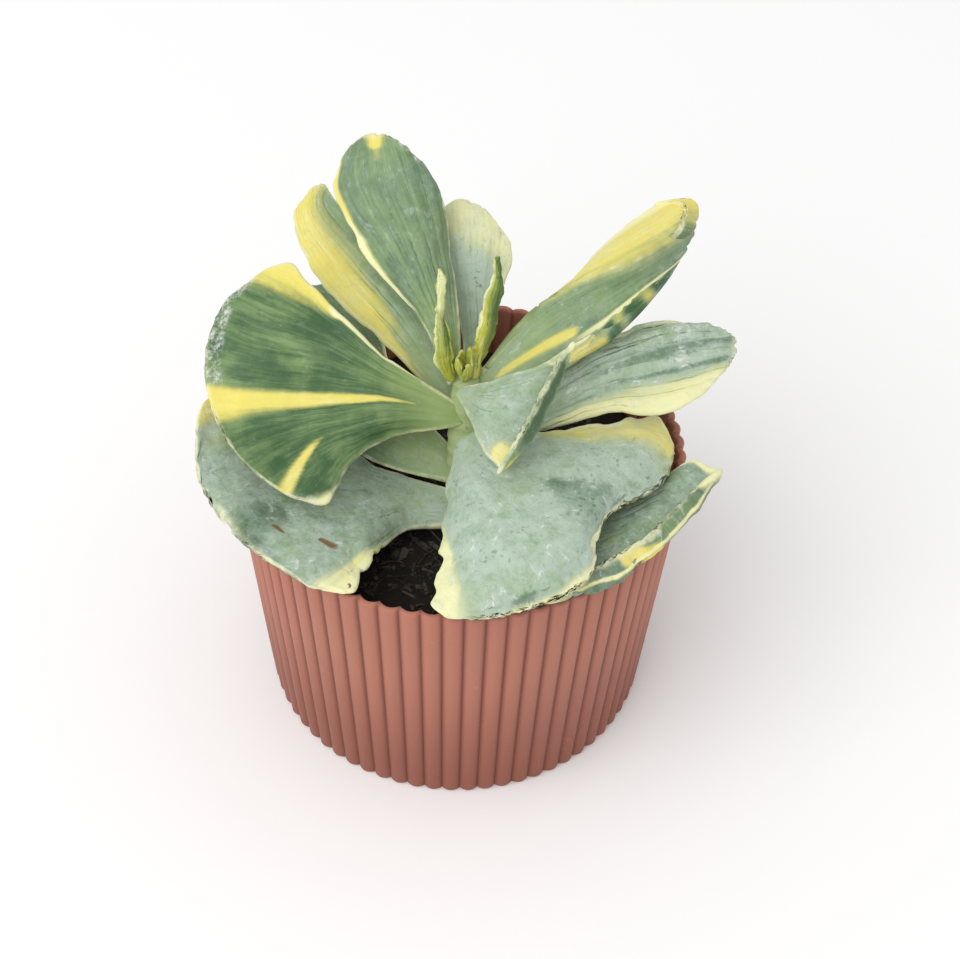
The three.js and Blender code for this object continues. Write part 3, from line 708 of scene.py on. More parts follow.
# %% Rows of the leaves
LEAVES = {
    "left_fan_leaf": dict(thick=2.6, round_share=0.25, rows=[
        [(0.5, -6.5, 88.5), (-0.5, -4.5, 90.5), (-1, -3, 93)],
        [(-16, -11, 88), (-16.5, -9, 93), (-17.5, -5.5, 96), (-18, -2.5, 100), (-18.5, 1, 104)],
        [(-26, -19.5, 87), (-29, -14.5, 93), (-31.5, -7.5, 98), (-32, 1, 105), (-32, 10.5, 112)],
        [(-28.5, -30, 85.5), (-39, -19.5, 92), (-46.5, -9, 99),
         (-48, 3.5, 108), (-41.5, 19.5, 116)],
        [(-33, -39.5, 83.5), (-49, -27.5, 91), (-59.5, -8.5, 99), (-60, 11, 108), (-50, 24.5, 117)],
    ]),
    "lower_left_leaf": dict(thick=2.8, round_share=0.18, rows=[
        [(-1, -18.5, 65.5), (-1, -14, 67), (-1, -9.5, 69.5)],
        [(-13, -22, 67), (-13.5, -14.5, 69), (-14.5, -6, 71)],
        [(-20.5, -42, 75), (-24, -29.5, 75), (-28, -16.5, 75), (-32, 0, 76)],
        [(-21, -51, 77.5), (-34.5, -42.5, 78), (-45, -29, 80), (-52, -9, 81.5), (-53, 9, 84)],
        [(-24.5, -53, 77.5), (-38.5, -47, 79.5), (-53, -35.5, 82),
         (-63.5, -18, 85), (-73, 8.5, 91)],
    ]),
    "back_tall_leaf": dict(thick=2.6, round_share=0.25, rows=[
        [(-3.2, 0.2, 95.5), (-1.8, 1.5, 96.3), (-0.3, 2.5, 97)],
        [(-10, 9.5, 107), (-5.5, 8, 110), (-1, 9.5, 110)],
        [(-24, 20.5, 118), (-18, 19, 121), (-12, 18.5, 123), (-7, 20.5, 122), (-4, 25, 120)],
        [(-32, 32.5, 128), (-27.5, 29.5, 132), (-18.5, 29, 134),
         (-10.5, 28.5, 134), (-4.5, 26.5, 128)],
        [(-31.5, 36, 137), (-27.5, 38.5, 139), (-21.5, 39, 140), (-14.5, 36, 139), (-8, 32.5, 136)],
    ]),
    "back_yellow_leaf": dict(thick=2.5, round_share=0.25, rows=[
        [(-3.5, 0, 88.5), (-2.5, 1.5, 90), (-1.5, 3, 90.5)],
        [(-19.5, 10.5, 99), (-14.5, 14.5, 102), (-8.5, 18.5, 102)],
        [(-35.5, 23, 107), (-28.5, 28.5, 110), (-20.5, 34, 112)],
        [(-43, 37, 114), (-37.5, 37.5, 117), (-30, 40.5, 118)],
        [(-42.5, 45.5, 118), (-37, 45.5, 120), (-30.5, 44.5, 120)],
    ]),
    "back_pale_leaf": dict(thick=2.4, round_share=0.25, rows=[
        [(-0.5, 1.5, 89), (1, 1.5, 89.5), (2.5, 2, 90)],
        [(-0.5, 13, 99), (2.5, 13, 100), (5.5, 14.5, 99)],
        [(-5, 23.5, 112), (2, 22.5, 112.5), (9.5, 22.5, 108.5)],
        [(-9, 33, 121), (2, 31.5, 121), (12.5, 28.5, 114.5)],
        [(-8, 39, 124), (1, 36, 123), (10.5, 32.5, 119)],
    ]),
    "lower_back_leaf": dict(thick=2.6, round_share=0.25, rows=[
        [(-1, -11, 73), (-2, -6.5, 75), (-2.5, -2.5, 78)],
        [(-17, -8, 75), (-16.5, -3.5, 80), (-15, 8.5, 85)],
        [(-29.5, -4.5, 79), (-29, 9, 83), (-21.5, 27, 89)],
        [(-41.5, 1.5, 84), (-44, 20.5, 87.5), (-31, 40.5, 92)],
        [(-48.5, 14.5, 87), (-50.5, 35.5, 90), (-38, 44, 93)],
    ]),
    "upper_right_leaf": dict(thick=2.4, round_share=0.04, rows=[
        [(2, 1.5, 95), (2.5, 0.5, 95), (3, 0, 94.5),
         (3.5, -0.5, 94), (3.5, -1, 93.5), (3.5, -1.5, 93)],
        [(14, 10, 105), (14, 9.5, 106), (14.5, 10.5, 107),
         (18.5, 7.5, 103), (21.5, 4, 98.5), (20.5, 4, 101)],
        [(25.5, 22.5, 110), (26, 19.5, 112), (28, 18.5, 113),
         (31.5, 16, 107.5), (34.5, 11, 102), (33, 13, 105.5)],
        [(36.5, 36, 114), (36.5, 26.5, 117), (38.5, 20, 118),
         (40.5, 21, 112.5), (43.5, 19, 107), (41.5, 20, 111)],
        [(45, 42.5, 118), (54, 39, 122), (54.5, 33.5, 120),
         (53, 31, 115.5), (51, 29.5, 112), (50, 28, 112)],
        [(46, 41, 119), (52, 37, 123.5), (51.5, 30.5, 123.5),
         (49.5, 28, 121), (47.5, 28, 118), (51, 27.5, 116)],
    ]),
    "right_grey_leaf": dict(thick=2.6, round_share=0.25, rows=[
        [(1.5, -1.5, 83), (2.5, -3.5, 81), (3, -5.5, 79)],
        [(18, 6.5, 90), (19, 2, 87), (20.5, -1.5, 83)],
        [(31, 15.5, 96), (33.5, 9, 92), (35.5, 0, 87)],
        [(47, 21.5, 99), (51, 12, 96), (51.5, -2.5, 91)],
        [(63.5, 24.5, 99), (67, 16, 97), (63.5, 3.5, 93)],
    ]),
    "front_wide_leaf": dict(thick=2.6, round_share=0.12, rows=[
        [(3, -4, 86), (2.5, -5, 86), (1.5, -6.5, 85),
         (0.5, -7.5, 84), (0, -8.5, 83), (-0.5, -9.5, 82)],
        [(15.5, -5.5, 86), (12, -13.5, 87), (8.5, -19.5, 87.5),
         (5, -23.5, 87), (1, -25, 85), (-3, -23, 81)],
        [(31.5, -0.5, 84.5), (27.5, -13.5, 87), (21.5, -25, 88),
         (13.5, -35, 88), (4.5, -39.5, 86), (-3.5, -41, 80)],
        [(44, 3.5, 84), (43, -10.5, 86), (32, -28.5, 87),
         (23.5, -44.5, 87), (9, -53, 83), (-5, -51, 79)],
        [(56.5, 4.5, 83.5), (50.5, -17, 83), (34.5, -31.5, 84.5),
         (30, -48.5, 82), (12.5, -58, 79), (-9.5, -62.5, 77.5)],
    ]),
    "front_right_leaf": dict(thick=2.4, round_share=0.06, rows=[
        [(2, -11.5, 69), (1, -12, 68), (0.5, -12.5, 67)],
        [(24.5, -8.5, 74), (21, -18.5, 73), (15, -26, 70)],
        [(43.5, -17, 78.5), (38, -25, 77), (30, -34.5, 76), (23, -43.5, 76), (15.5, -47.5, 76)],
        [(55.5, -9, 82), (50, -19, 79), (41, -31.5, 77.5), (30.5, -43.5, 77), (16.5, -50.5, 77)],
        [(62, -13.5, 84), (54, -25.5, 79.5), (44.5, -37.5, 78), (34, -46, 77.5), (18, -52, 77)],
        [(59, -14.5, 86), (51.5, -25, 83), (43, -35, 81.5), (31.5, -43, 80), (18, -52, 79)],
    ]),
    "front_folded_leaf": dict(thick=2.3, round_share=0.08, rows=[
        [(1, -2.5, 97), (0, -3.5, 96.5), (-0.5, -5, 96)],
        [(10, -6.5, 105), (7, -11.5, 102), (2.5, -14.5, 97)],
        [(20, -6, 109), (17.5, -8.5, 107), (14, -12.5, 104), (11, -16, 100), (6, -21.5, 94)],
        [(24.5, -4, 111), (22.5, -8, 107), (20, -13.5, 104), (17, -18.5, 99), (9.5, -26.5, 94)],
        [(26.5, -2, 115), (22, -7.5, 111), (19, -14.5, 109), (16.5, -19, 105), (8, -29, 94)],
    ]),
    "left_bud_leaf": dict(thick=1.4, round_share=0.12, rows=[
        [(-3.25, -1.25, 98.75), (-2.5, -1.75, 98.75), (-1.75, -1.25, 98.75)],
        [(-6.75, 1, 102), (-4.25, 0, 104), (-2, 0.25, 102.5)],
        [(-6.75, 2.5, 106), (-4.75, 2.25, 108), (-2.25, 2.25, 105.5)],
        [(-6.5, 4.5, 114), (-5.5, 4.25, 115.5), (-4.25, 5.25, 113.5)],
        [(-6.25, 6.75, 121), (-5.25, 6.5, 121.5), (-4.5, 7, 120.5)],
        [(-6.25, 7.75, 124.5), (-5.75, 7.5, 125), (-5, 8, 124)],
    ]),
    "right_bud_leaf": dict(thick=1.4, round_share=0.12, rows=[
        [(2.5, -0.75, 98.5), (3.25, 0, 98.5), (4, 1, 98.5)],
        [(2, 3, 104), (4.25, 2.5, 105), (6.25, 3.75, 103.5)],
        [(3.75, 5.5, 109.5), (6, 4.5, 111), (8, 6, 109)],
        [(4.25, 7.5, 114), (6.5, 6.5, 116), (8.75, 8.75, 114.5)],
        [(6.25, 10, 119.5), (7.75, 9.25, 121), (9, 10, 120)],
        [(6.25, 12.75, 124), (7.5, 12.5, 125.5), (8.5, 12.25, 124)],
    ]),
}
print("leaves:", len(LEAVES))

# %% [markdown]
# ## From rows to a blade
#
# The curve through the rows is a Catmull-Rom spline, once along the blade and once across it. A
# Subdivision Surface over the same points would shrink away from them, and NURBS are harder to give a
# rounded end. The grid is fine near the margins, where the blade's edge turns round, and coarser in
# the middle.

# %% Spline through points


def through(stations, points, at):
    """A smooth curve through points (first axis) at the stations, read at each value of `at`."""
    last = len(stations) - 1
    before = np.maximum(np.arange(last + 1) - 1, 0)
    after = np.minimum(np.arange(last + 1) + 1, last)
    ends = (slice(None),) + (None,) * (points.ndim - 1)
    slopes = (points[after] - points[before]) / (stations[after] - stations[before])[ends]
    k = np.clip(np.searchsorted(stations, at) - 1, 0, last - 1)
    span = (stations[k + 1] - stations[k])[ends]
    s = (at - stations[k])[ends] / span
    return (
        (2 * s**3 - 3 * s**2 + 1) * points[k]
        + (s**3 - 2 * s**2 + s) * span * slopes[k]
        + (3 * s**2 - 2 * s**3) * points[k + 1]
        + (s**3 - s**2) * span * slopes[k + 1]
    )


def soft(value, low, high):
    """0 up to low, 1 from high on, and a smooth rise between."""
    s = np.clip((value - low) / (high - low), 0, 1)
    return s * s * (3 - 2 * s)


# %% Stations along and across a blade
ROWS_STRAIGHT = 84
ROWS_ROUND = 34
COLUMNS_INSIDE = 66
EDGE_SHARES = np.array([0.0, 0.003, 0.01, 0.022, 0.04])  # extra columns close to each margin
ROUND_POWER = 2.2
BLUNT_ANGLE = 0.03


def rows_along(round_share):
    """How far along each row lies, and how wide it is: full, then narrowing to the round end."""
    straight = np.linspace(0, 1 - round_share, ROWS_STRAIGHT + 1)
    angles = np.linspace(0, math.pi / 2, ROWS_ROUND + 1)[1:]
    angles[-1] -= BLUNT_ANGLE
    along = np.append(straight, 1 - round_share * (1 - np.sin(angles) ** (2 / ROUND_POWER)))
    width = np.append(np.ones(len(straight)), np.cos(angles) ** (2 / ROUND_POWER))
    return along, width


inside = np.linspace(-1 + 2 * EDGE_SHARES[-1], 1 - 2 * EDGE_SHARES[-1], COLUMNS_INSIDE)
margin_columns = -1 + 2 * EDGE_SHARES[:-1]
ACROSS = np.concatenate([margin_columns, inside, -margin_columns[::-1]])
print("columns across a blade:", len(ACROSS))

# %% Middle surface of a blade


def middle_surface(leaf):
    """The grid of points, how far along and across the blade each lies, and the blade's length."""
    rows = [np.array(row, float) * MM for row in leaf["rows"]]
    columns = max(len(row) for row in rows)
    even = np.linspace(-1, 1, columns)
    rows = np.array([through(np.linspace(-1, 1, len(row)), row, even) for row in rows])
    spine = rows[:, columns // 2]
    stations = np.append(0, np.cumsum(np.linalg.norm(np.diff(spine, axis=0), axis=1)))
    along, width = rows_along(leaf["round_share"])
    along_grid, across_grid = np.meshgrid(along, ACROSS, indexing="ij")
    across_grid = across_grid * width[:, None]
    sections = through(stations / stations[-1], rows, along)
    pairs_of_rows = zip(sections, across_grid)
    surface = np.array([through(even, section, places) for section, places in pairs_of_rows])
    return surface, along_grid, across_grid, stations[-1]


# %% [markdown]
# ## Life in the blade
#
# A bare spline looks like bent card. Real blades of this plant are wavy along the margin, scalloped
# where they grew unevenly or were knocked, lifted into low folds that fan out from the foot, and
# dented all over. Each of these is a small move of the grid, made from smooth noise with a seed per
# leaf. The moves are made in the mesh, not in a bump map, because they show in the outline.

# %% Noise on a grid of points
SEED_SHIFT = 17.3  # how far apart the fields of two seeds lie


def noise_grid(points, seed):
    """Smooth noise, about -1 to 1, at each point of a grid, with its own field for each seed."""
    flat = points.reshape(-1, points.shape[-1])
    if flat.shape[1] == 2:
        flat = np.column_stack([flat, np.zeros(len(flat))])
    shift = Vector((0, 0, SEED_SHIFT * seed))
    return np.array([noise.noise(Vector(p) + shift) for p in flat]).reshape(points.shape[:-1])


def pairs(first, second):
    return np.stack([first, second], axis=-1)


# %% Directions and distances on a grid


def unit(vectors):
    return vectors / np.maximum(np.linalg.norm(vectors, axis=-1, keepdims=True), 1e-12)


def directions(surface):
    """The ways onward from the foot, sideways to the right margin, and out of the upper face."""
    onward = unit(np.gradient(surface, axis=0))
    sideways = unit(np.gradient(surface, axis=1))
    return onward, sideways, unit(np.cross(sideways, onward))


def margin_distances(surface, along_grid, length):
    """How far each point is from the left margin, the right margin and the far end, in metres."""
    steps = np.linalg.norm(np.diff(surface, axis=1), axis=2)
    from_left = np.concatenate([np.zeros((len(surface), 1)), np.cumsum(steps, axis=1)], axis=1)
    return from_left, from_left[:, -1:] - from_left, (1 - along_grid) * length


# %% Scallops, ripples, folds and dents
SCALLOP_DEPTH = 1.5 * MM
SCALLOP_LENGTH = 5 * MM
SCALLOP_REACH = 7 * MM
RIPPLE_HEIGHT = 1.0 * MM
RIPPLE_LENGTH = 13 * MM
RIPPLE_REACH = 11 * MM
FOLD_HEIGHT = 0.6 * MM
DENT_HEIGHT = 0.34 * MM
DENT_LENGTH = 4.5 * MM
GROWN_FROM = 0.12  # shares of the blade's length between which the moves come in
GROWN_AT = 0.4
SCALLOP_RANGE = (-0.35, 0.65)  # noise below it leaves the margin whole, noise above it cuts in fully
BROAD_FANS = (4.5, 1.2)  # folds across the blade, and changes along it
NARROW_FANS = (11, 2)
SMALL_DENT = 0.4  # length of the small dents, against the large ones
FINER_HEIGHT = 0.5  # height of the narrow fans and small dents, against the others
YOUNG_SIZE = 0.32  # the moves of a young leaf, against a grown one's


def enliven(surface, along, across, length, shape, seed, size):
    """Moves the grid's points by the leaf's scallops, ripples, folds and dents."""
    onward, sideways, normal = directions(surface)
    from_left, from_right, to_end = margin_distances(surface, along, length)
    grown = soft(along, GROWN_FROM * size, GROWN_AT * size)
    scallop = soft(noise_grid(surface / (SCALLOP_LENGTH * size), seed), *SCALLOP_RANGE)
    scallop = scallop * SCALLOP_DEPTH * size * shape["scallops"] * grown
    reach = SCALLOP_REACH * size
    inward = sideways * (1 - soft(from_left, 0, reach))[..., None]
    inward = inward - sideways * (1 - soft(from_right, 0, reach))[..., None]
    inward = inward - onward * (1 - soft(to_end, 0, reach))[..., None]
    surface = surface + scallop[..., None] * inward

    edge = np.minimum(np.minimum(from_left, from_right), to_end)
    rippled = 1 - soft(edge, 0, RIPPLE_REACH * size)
    ripple = noise_grid(surface / (RIPPLE_LENGTH * size), seed + 1) * rippled * shape["ripples"]
    fans = noise_grid(pairs(across * BROAD_FANS[0], along * BROAD_FANS[1]), seed + 2)
    narrow = noise_grid(pairs(across * NARROW_FANS[0], along * NARROW_FANS[1]), seed + 3)
    fans = fans + FINER_HEIGHT * narrow
    dents = noise_grid(surface / (DENT_LENGTH * size), seed + 4)
    small = noise_grid(surface / (SMALL_DENT * DENT_LENGTH * size), seed + 5)
    dents = dents + FINER_HEIGHT * small
    lift = RIPPLE_HEIGHT * ripple + FOLD_HEIGHT * shape["folds"] * fans
    lift = lift + DENT_HEIGHT * shape["dents"] * dents
    return surface + normal * (size * lift * grown)[..., None]


# %% Closed blade with a rounded edge
FOOT_SWELL = 0.9  # how much thicker the fleshy foot is than the blade, as a share
FOOT_LENGTH = 0.25
THINNING_REACH = 9 * MM
TURN_SHARE = 0.6  # how far in the edge turns round, in times its thickness
WELD_DISTANCE = 0.002 * MM


def half_thickness(thick, edge, distance, along):
    """Full inside, thinner towards the margin, and turned round over the last bit."""
    half = (edge + (thick - edge) * soft(distance, 0, THINNING_REACH)) / 2
    half = half * (1 + FOOT_SWELL * (1 - soft(along, 0, FOOT_LENGTH)) ** 2)
    turn = np.clip(1 - distance / (TURN_SHARE * edge), 0, 1)
    return half * np.sqrt(1 - turn**2)


def blade_object(name, upper, lower, attributes):
    """Joins the two faces of a blade into one closed mesh, wound outwards, with its attributes."""
    long, wide = upper.shape[0], upper.shape[1]
    top = np.arange(long * wide).reshape(long, wide)
    under = top + long * wide
    faces = []
    for i in range(long - 1):
        for j in range(wide - 1):
            faces.append((top[i, j], top[i, j + 1], top[i + 1, j + 1], top[i + 1, j]))
            faces.append((under[i, j], under[i + 1, j], under[i + 1, j + 1], under[i, j + 1]))
    for j in range(wide - 1):
        faces.append((top[0, j], under[0, j], under[0, j + 1], top[0, j + 1]))
        faces.append((top[-1, j], top[-1, j + 1], under[-1, j + 1], under[-1, j]))
    points = np.concatenate([upper.reshape(-1, 3), lower.reshape(-1, 3)])
    obj = new_object(name, points, faces=[tuple(int(k) for k in face) for face in faces])
    for label, (kind, field, values) in attributes.items():
        store = obj.data.attributes.new(label, kind, "POINT")
        store.data.foreach_set(field, np.asarray(values, np.float32).ravel())
    weld = bmesh.new()
    weld.from_mesh(obj.data)
    bmesh.ops.remove_doubles(weld, verts=weld.verts, dist=WELD_DISTANCE)
    bmesh.ops.dissolve_degenerate(weld, edges=weld.edges, dist=WELD_DISTANCE / 4)
    weld.to_mesh(obj.data)
    weld.free()
    obj.data.shade_smooth()
    return obj


# %% [markdown]
# ## Where the colours lie
#
# The cream and yellow sectors run with the veins, so they are drawn in the blade's own directions:
# `along` is 0 at the foot and 1 at the far edge, `across` is 0 at the left margin and 1 at the right
# one. A stroke goes from one such place to another, with a half width at each end. The strokes are
# kept on the mesh as soft-edged values, and the material frays their borders with streaky noise. An
# image would do this too, but it would need a picture of each leaf.
#
# `bloom` is how much white wax the leaf has, and `shade` is how dark its green is. On some leaves
# `shade` also holds painted shade, and below zero it paints light. `scallops`, `ripples`, `folds` and
# `dents` say how strongly the leaf has each.

# %% Looks of each leaf
LOOKS = {
    "left_fan_leaf": dict(
        bloom=0.1, shade=1.15, scallops=0.7, ripples=1.2, folds=0.8, dents=0.5,
        strokes=[
            ("yellow", (0.2, 0.48), (1.0, 0.465), (0.02, 0.055)),
            ("yellow", (0.62, 0.24), (1.0, 0.12), (0.012, 0.026)),
            ("yellow", (0.45, 0.99), (0.9, 0.985), (0.04, 0.1)),
            ("cream", (0.15, 0.985), (0.5, 0.985), (0.02, 0.03)),
            ("cream", (0.75, 0.0), (1.0, 0.06), (0.03, 0.04)),
            ("crust", (0.97, 0.55), (0.93, 0.9), (0.035, 0.03)),
            ("crust", (0.99, 0.15), (0.85, 0.0), (0.035, 0.03)),
        ],
    ),
    "lower_left_leaf": dict(
        bloom=0.8, shade=0.95, scallops=1.6, ripples=1.8, folds=0.9, dents=1.5,
        strokes=[
            ("cream", (0.3, 0.0), (0.98, 0.0), (0.1, 0.17)),
            ("yellow", (0.45, 0.1), (0.75, 0.06), (0.04, 0.06)),
            ("yellow", (0.9, 0.85), (0.95, 1.0), (0.12, 0.14)),
            ("shade", (0.7, 0.5), (0.95, 0.45), (0.05, 0.1)),
            ("scar", (0.64, 0.26), (0.67, 0.32), (0.02, 0.014)),
            ("scar", (0.82, 0.4), (0.84, 0.42), (0.012, 0.01)),
            ("scar", (0.8, 0.05), (0.84, 0.03), (0.012, 0.012)),
        ],
    ),
    "back_tall_leaf": dict(
        bloom=0.32, shade=0.8, scallops=0.7, ripples=1.0, folds=0.8, dents=0.8,
        strokes=[
            ("yellow", (0.93, 0.46), (1.0, 0.46), (0.05, 0.09)),
            ("yellow", (0.55, 0.0), (0.9, 0.06), (0.07, 0.09)),
            ("cream", (0.3, 0.0), (0.6, 0.02), (0.06, 0.08)),
            ("crust", (0.98, 0.7), (0.9, 0.95), (0.03, 0.03)),
        ],
    ),
    "back_yellow_leaf": dict(
        bloom=0.45, shade=0.5, scallops=0.5, ripples=0.9, folds=0.6, dents=0.6,
        strokes=[
            ("yellow", (0.3, 0.12), (1.0, 0.2), (0.28, 0.42)),
            ("yellow", (0.15, 0.0), (0.5, 0.1), (0.1, 0.2)),
            ("cream", (0.3, 1.0), (1.0, 1.0), (0.03, 0.06)),
        ],
    ),
    "back_pale_leaf": dict(
        # Partly painted light: the negative shade lightens this leaf as light shining through it from
        # behind would, over a centre that is pale of itself.
        bloom=1.1, shade=-0.6, scallops=0.4, ripples=0.8, folds=0.4, dents=0.4,
        strokes=[
            ("cream", (1.0, 0.0), (0.97, 0.95), (0.23, 0.27)),
            ("yellow", (1.0, 0.1), (0.97, 0.9), (0.1, 0.13)),
            ("cream", (0.4, 1.0), (0.9, 0.98), (0.06, 0.14)),
        ],
    ),
    "lower_back_leaf": dict(
        # Painted shadow: this leaf lies under the left fan leaf, and its high shade darkens it as that
        # shadow would.
        bloom=0.4, shade=1.3, scallops=0.6, ripples=1.0, folds=0.8, dents=0.9,
        strokes=[
            ("cream", (0.3, 1.0), (1.0, 1.0), (0.02, 0.04)),
        ],
    ),
    "upper_right_leaf": dict(
        bloom=0.4, shade=0.75, scallops=0.3, ripples=0.4, folds=0.6, dents=0.5,
        strokes=[
            ("yellow", (0.3, 0.14), (1.0, 0.14), (0.24, 0.27)),
            ("cream", (0.4, 0.0), (1.0, 0.0), (0.06, 0.1)),
            ("yellow", (0.12, 0.6), (0.38, 0.64), (0.04, 0.03)),
            ("yellow", (0.3, 0.86), (1.0, 0.86), (0.1, 0.1)),
            ("shade", (0.54, 0.76), (0.52, 0.95), (0.03, 0.025)),
            ("shade", (0.64, 0.74), (0.62, 0.92), (0.055, 0.05)),
            ("shade", (0.78, 0.74), (0.76, 0.94), (0.06, 0.055)),
            ("shade", (0.94, 0.72), (0.92, 0.96), (0.07, 0.07)),
            ("cream", (0.35, 0.685), (0.95, 0.675), (0.012, 0.014)),
            ("cream", (0.3, 1.0), (0.95, 1.0), (0.02, 0.03)),
        ],
    ),
    "right_grey_leaf": dict(
        bloom=0.85, shade=0.35, scallops=0.5, ripples=0.9, folds=2.2, dents=0.9,
        strokes=[
            ("cream", (0.25, 0.95), (0.98, 0.92), (0.12, 0.24)),
            ("yellow", (0.55, 0.86), (0.9, 0.86), (0.03, 0.07)),
            # Painted shade: these two dark strokes stand in for the shade in the leaf's folds.
            ("shade", (0.4, 0.5), (1.0, 0.42), (0.02, 0.05)),
            ("shade", (0.5, 0.66), (0.95, 0.62), (0.015, 0.03)),
            ("crust", (0.86, 0.15), (0.72, 0.32), (0.07, 0.06)),
        ],
    ),
    "front_wide_leaf": dict(
        bloom=0.95, shade=0.7, scallops=1.3, ripples=1.4, folds=0.7, dents=1.9,
        strokes=[
            ("yellow", (0.38, 0.03), (0.9, 0.05), (0.07, 0.15)),
            ("cream", (0.4, 0.0), (1.0, 0.0), (0.03, 0.05)),
            ("shade", (0.5, 0.4), (0.85, 0.42), (0.05, 0.1)),
            ("shade", (0.9, 0.72), (0.95, 0.75), (0.03, 0.05)),
            ("cream", (0.42, 1.0), (1.0, 0.97), (0.05, 0.1)),
            ("cream", (1.0, 0.3), (1.0, 0.95), (0.03, 0.04)),
        ],
    ),
    "front_right_leaf": dict(
        bloom=0.7, shade=1.2, scallops=0.8, ripples=1.0, folds=1.6, dents=1.2,
        strokes=[
            ("cream", (0.952, 0.0), (0.952, 1.0), (0.006, 0.007)),
            ("cream", (0.6, 0.0), (0.95, 0.0), (0.02, 0.03)),
            ("yellow", (0.93, 0.45), (0.98, 0.6), (0.035, 0.03)),
            ("cream", (0.98, 0.78), (0.99, 1.0), (0.03, 0.06)),
            ("cream", (0.96, 0.0), (0.99, 0.1), (0.03, 0.03)),
        ],
    ),
    "front_folded_leaf": dict(
        bloom=0.7, shade=0.45, scallops=0.5, ripples=0.6, folds=0.5, dents=0.9,
        strokes=[
            ("cream", (0.6, 0.0), (0.95, 0.03), (0.03, 0.09)),
            ("yellow", (0.66, 0.93), (0.84, 0.95), (0.06, 0.08)),
            ("shade", (0.93, 0.25), (0.93, 0.8), (0.07, 0.07)),
            ("cream", (0.82, 0.1), (0.83, 0.8), (0.012, 0.012)),
        ],
    ),
    "left_bud_leaf": dict(
        bloom=0.05, shade=0.4, scallops=1.9, ripples=2.8, folds=2.0, dents=2.2,
        strokes=[
            ("cream", (0.05, 0.0), (0.6, 0.0), (0.16, 0.25)),
            ("cream", (0.6, 0.4), (1.0, 0.5), (0.3, 0.6)),
            ("shade", (0.45, 0.7), (0.75, 0.7), (0.2, 0.2)),
        ],
    ),
    "right_bud_leaf": dict(
        bloom=0.1, shade=1.0, scallops=1.9, ripples=2.8, folds=2.0, dents=2.2,
        strokes=[
            ("cream", (0.3, 0.0), (1.0, 0.1), (0.14, 0.2)),
            ("yellow", (0.1, 0.3), (0.42, 0.25), (0.4, 0.3)),
            ("shade", (0.6, 0.75), (0.95, 0.75), (0.3, 0.3)),
        ],
    ),
}
TINTS = ("yellow", "cream", "shade", "scar", "crust")
print("strokes drawn:", sum(len(look["strokes"]) for look in LOOKS.values()))

# %% Strokes as values on the blade
STROKE_BORDER = (0.1, 1.8)  # times the half width, between which a stroke fades out
TAPER_IN = (-0.25, 0.35)  # shares of its length between which a widening stroke comes in
SHADE_SHARE = 0.5


def stroke_field(along, across, start, end, half_widths):
    """1 on the stroke, falling softly to 0 past its half width."""
    reach = np.array(end) - np.array(start)
    share = (along - start[0]) * reach[0] + (across - start[1]) * reach[1]
    share = np.clip(share / (reach @ reach), 0, 1)
    off = np.hypot(along - start[0] - share * reach[0], across - start[1] - share * reach[1])
    half_width = half_widths[0] + (half_widths[1] - half_widths[0]) * share
    fade_in = soft(share, *TAPER_IN) if half_widths[0] < half_widths[1] else 1.0
    return fade_in * (1 - soft(off, *(edge * half_width for edge in STROKE_BORDER)))


def tint_fields(look, along, across):
    fields = {tint: np.zeros(along.shape) for tint in TINTS}
    # A leaf's shade darkens all of its green; on some leaves it is painted shade, and below zero painted
    # light.
    fields["shade"] += SHADE_SHARE * look["shade"]
    for tint, start, end, half_widths in look["strokes"]:
        drawn = stroke_field(along, across, start, end, half_widths)
        fields[tint] = np.maximum(fields[tint], drawn)
        if tint == "shade":
            fields["yellow"] = fields["yellow"] * (1 - drawn)
    return fields


# %% [markdown]
# ## Leaf skin
#
# The skin is built in layers, as on the plant: green tissue, darker in places and streaked along the
# veins; yellow and cream sectors over it, with frayed borders; a powdery white wax, thick on some
# leaves and nearly rubbed off others, with cracks and dark pits in it; white crusts near some
# margins; and a pale, slightly horny line along the margin itself. Each layer is a function that takes
# the colour so far and gives the colour with the layer on it. All of them read the same values.

# %% Values of the skin


def centred(tree, value, gain):
    """Noise from 0 to 1 as a push from -gain/2 to gain/2."""
    return product(tree, calc(tree, "SUBTRACT", value, 0.5), gain)


def skin_values(tree):
    """What the mesh says at each point, and the noises that the layers share."""
    values = SimpleNamespace(place=object_place(tree), blade=attribute(tree, "blade")["Vector"])
    tint, skin = attribute(tree, "tint"), attribute(tree, "skin")
    values.yellow, values.cream, values.shade = parts(tree, tint["Vector"])
    values.bloom, values.margin, values.under = parts(tree, skin["Vector"])
    values.crust, values.scar = tint["Alpha"], skin["Alpha"]
    values.along = parts(tree, values.blade)["Y"]
    values.streaks = noise_value(tree, stretched(tree, values.blade, 14, 1.3, 1), 1.0, 6.0, 0.65)
    values.fine_streaks = noise_value(tree, stretched(tree, values.blade, 60, 5, 1), 1.0, 5.0, 0.65)
    values.clouds = noise_value(tree, values.place, 85.0, 4.0, 0.6)
    values.mottle = noise_value(tree, values.place, 260.0, 6.0, 0.7)
    values.powder = noise_value(tree, values.place, 1100.0, 4.0, 0.75)
    return values


def frayed(tree, values, field, fray, low, high):
    """A painted field with its soft border torn along the veins."""
    push = total(
        tree, centred(tree, values.streaks, fray), centred(tree, values.mottle, 0.35 * fray)
    )
    rough = total(tree, field, product(tree, push, smooth_step(tree, field, 0.0, 0.25)))
    return smooth_step(tree, rough, low, high)


# %% [markdown]
# The tissue is deep green in places and yellower at the foot. Where a yellow or cream sector lies, the
# wax and the pits over it are fainter, so the sectors also give how much is left for those.

# %% Tissue and sectors


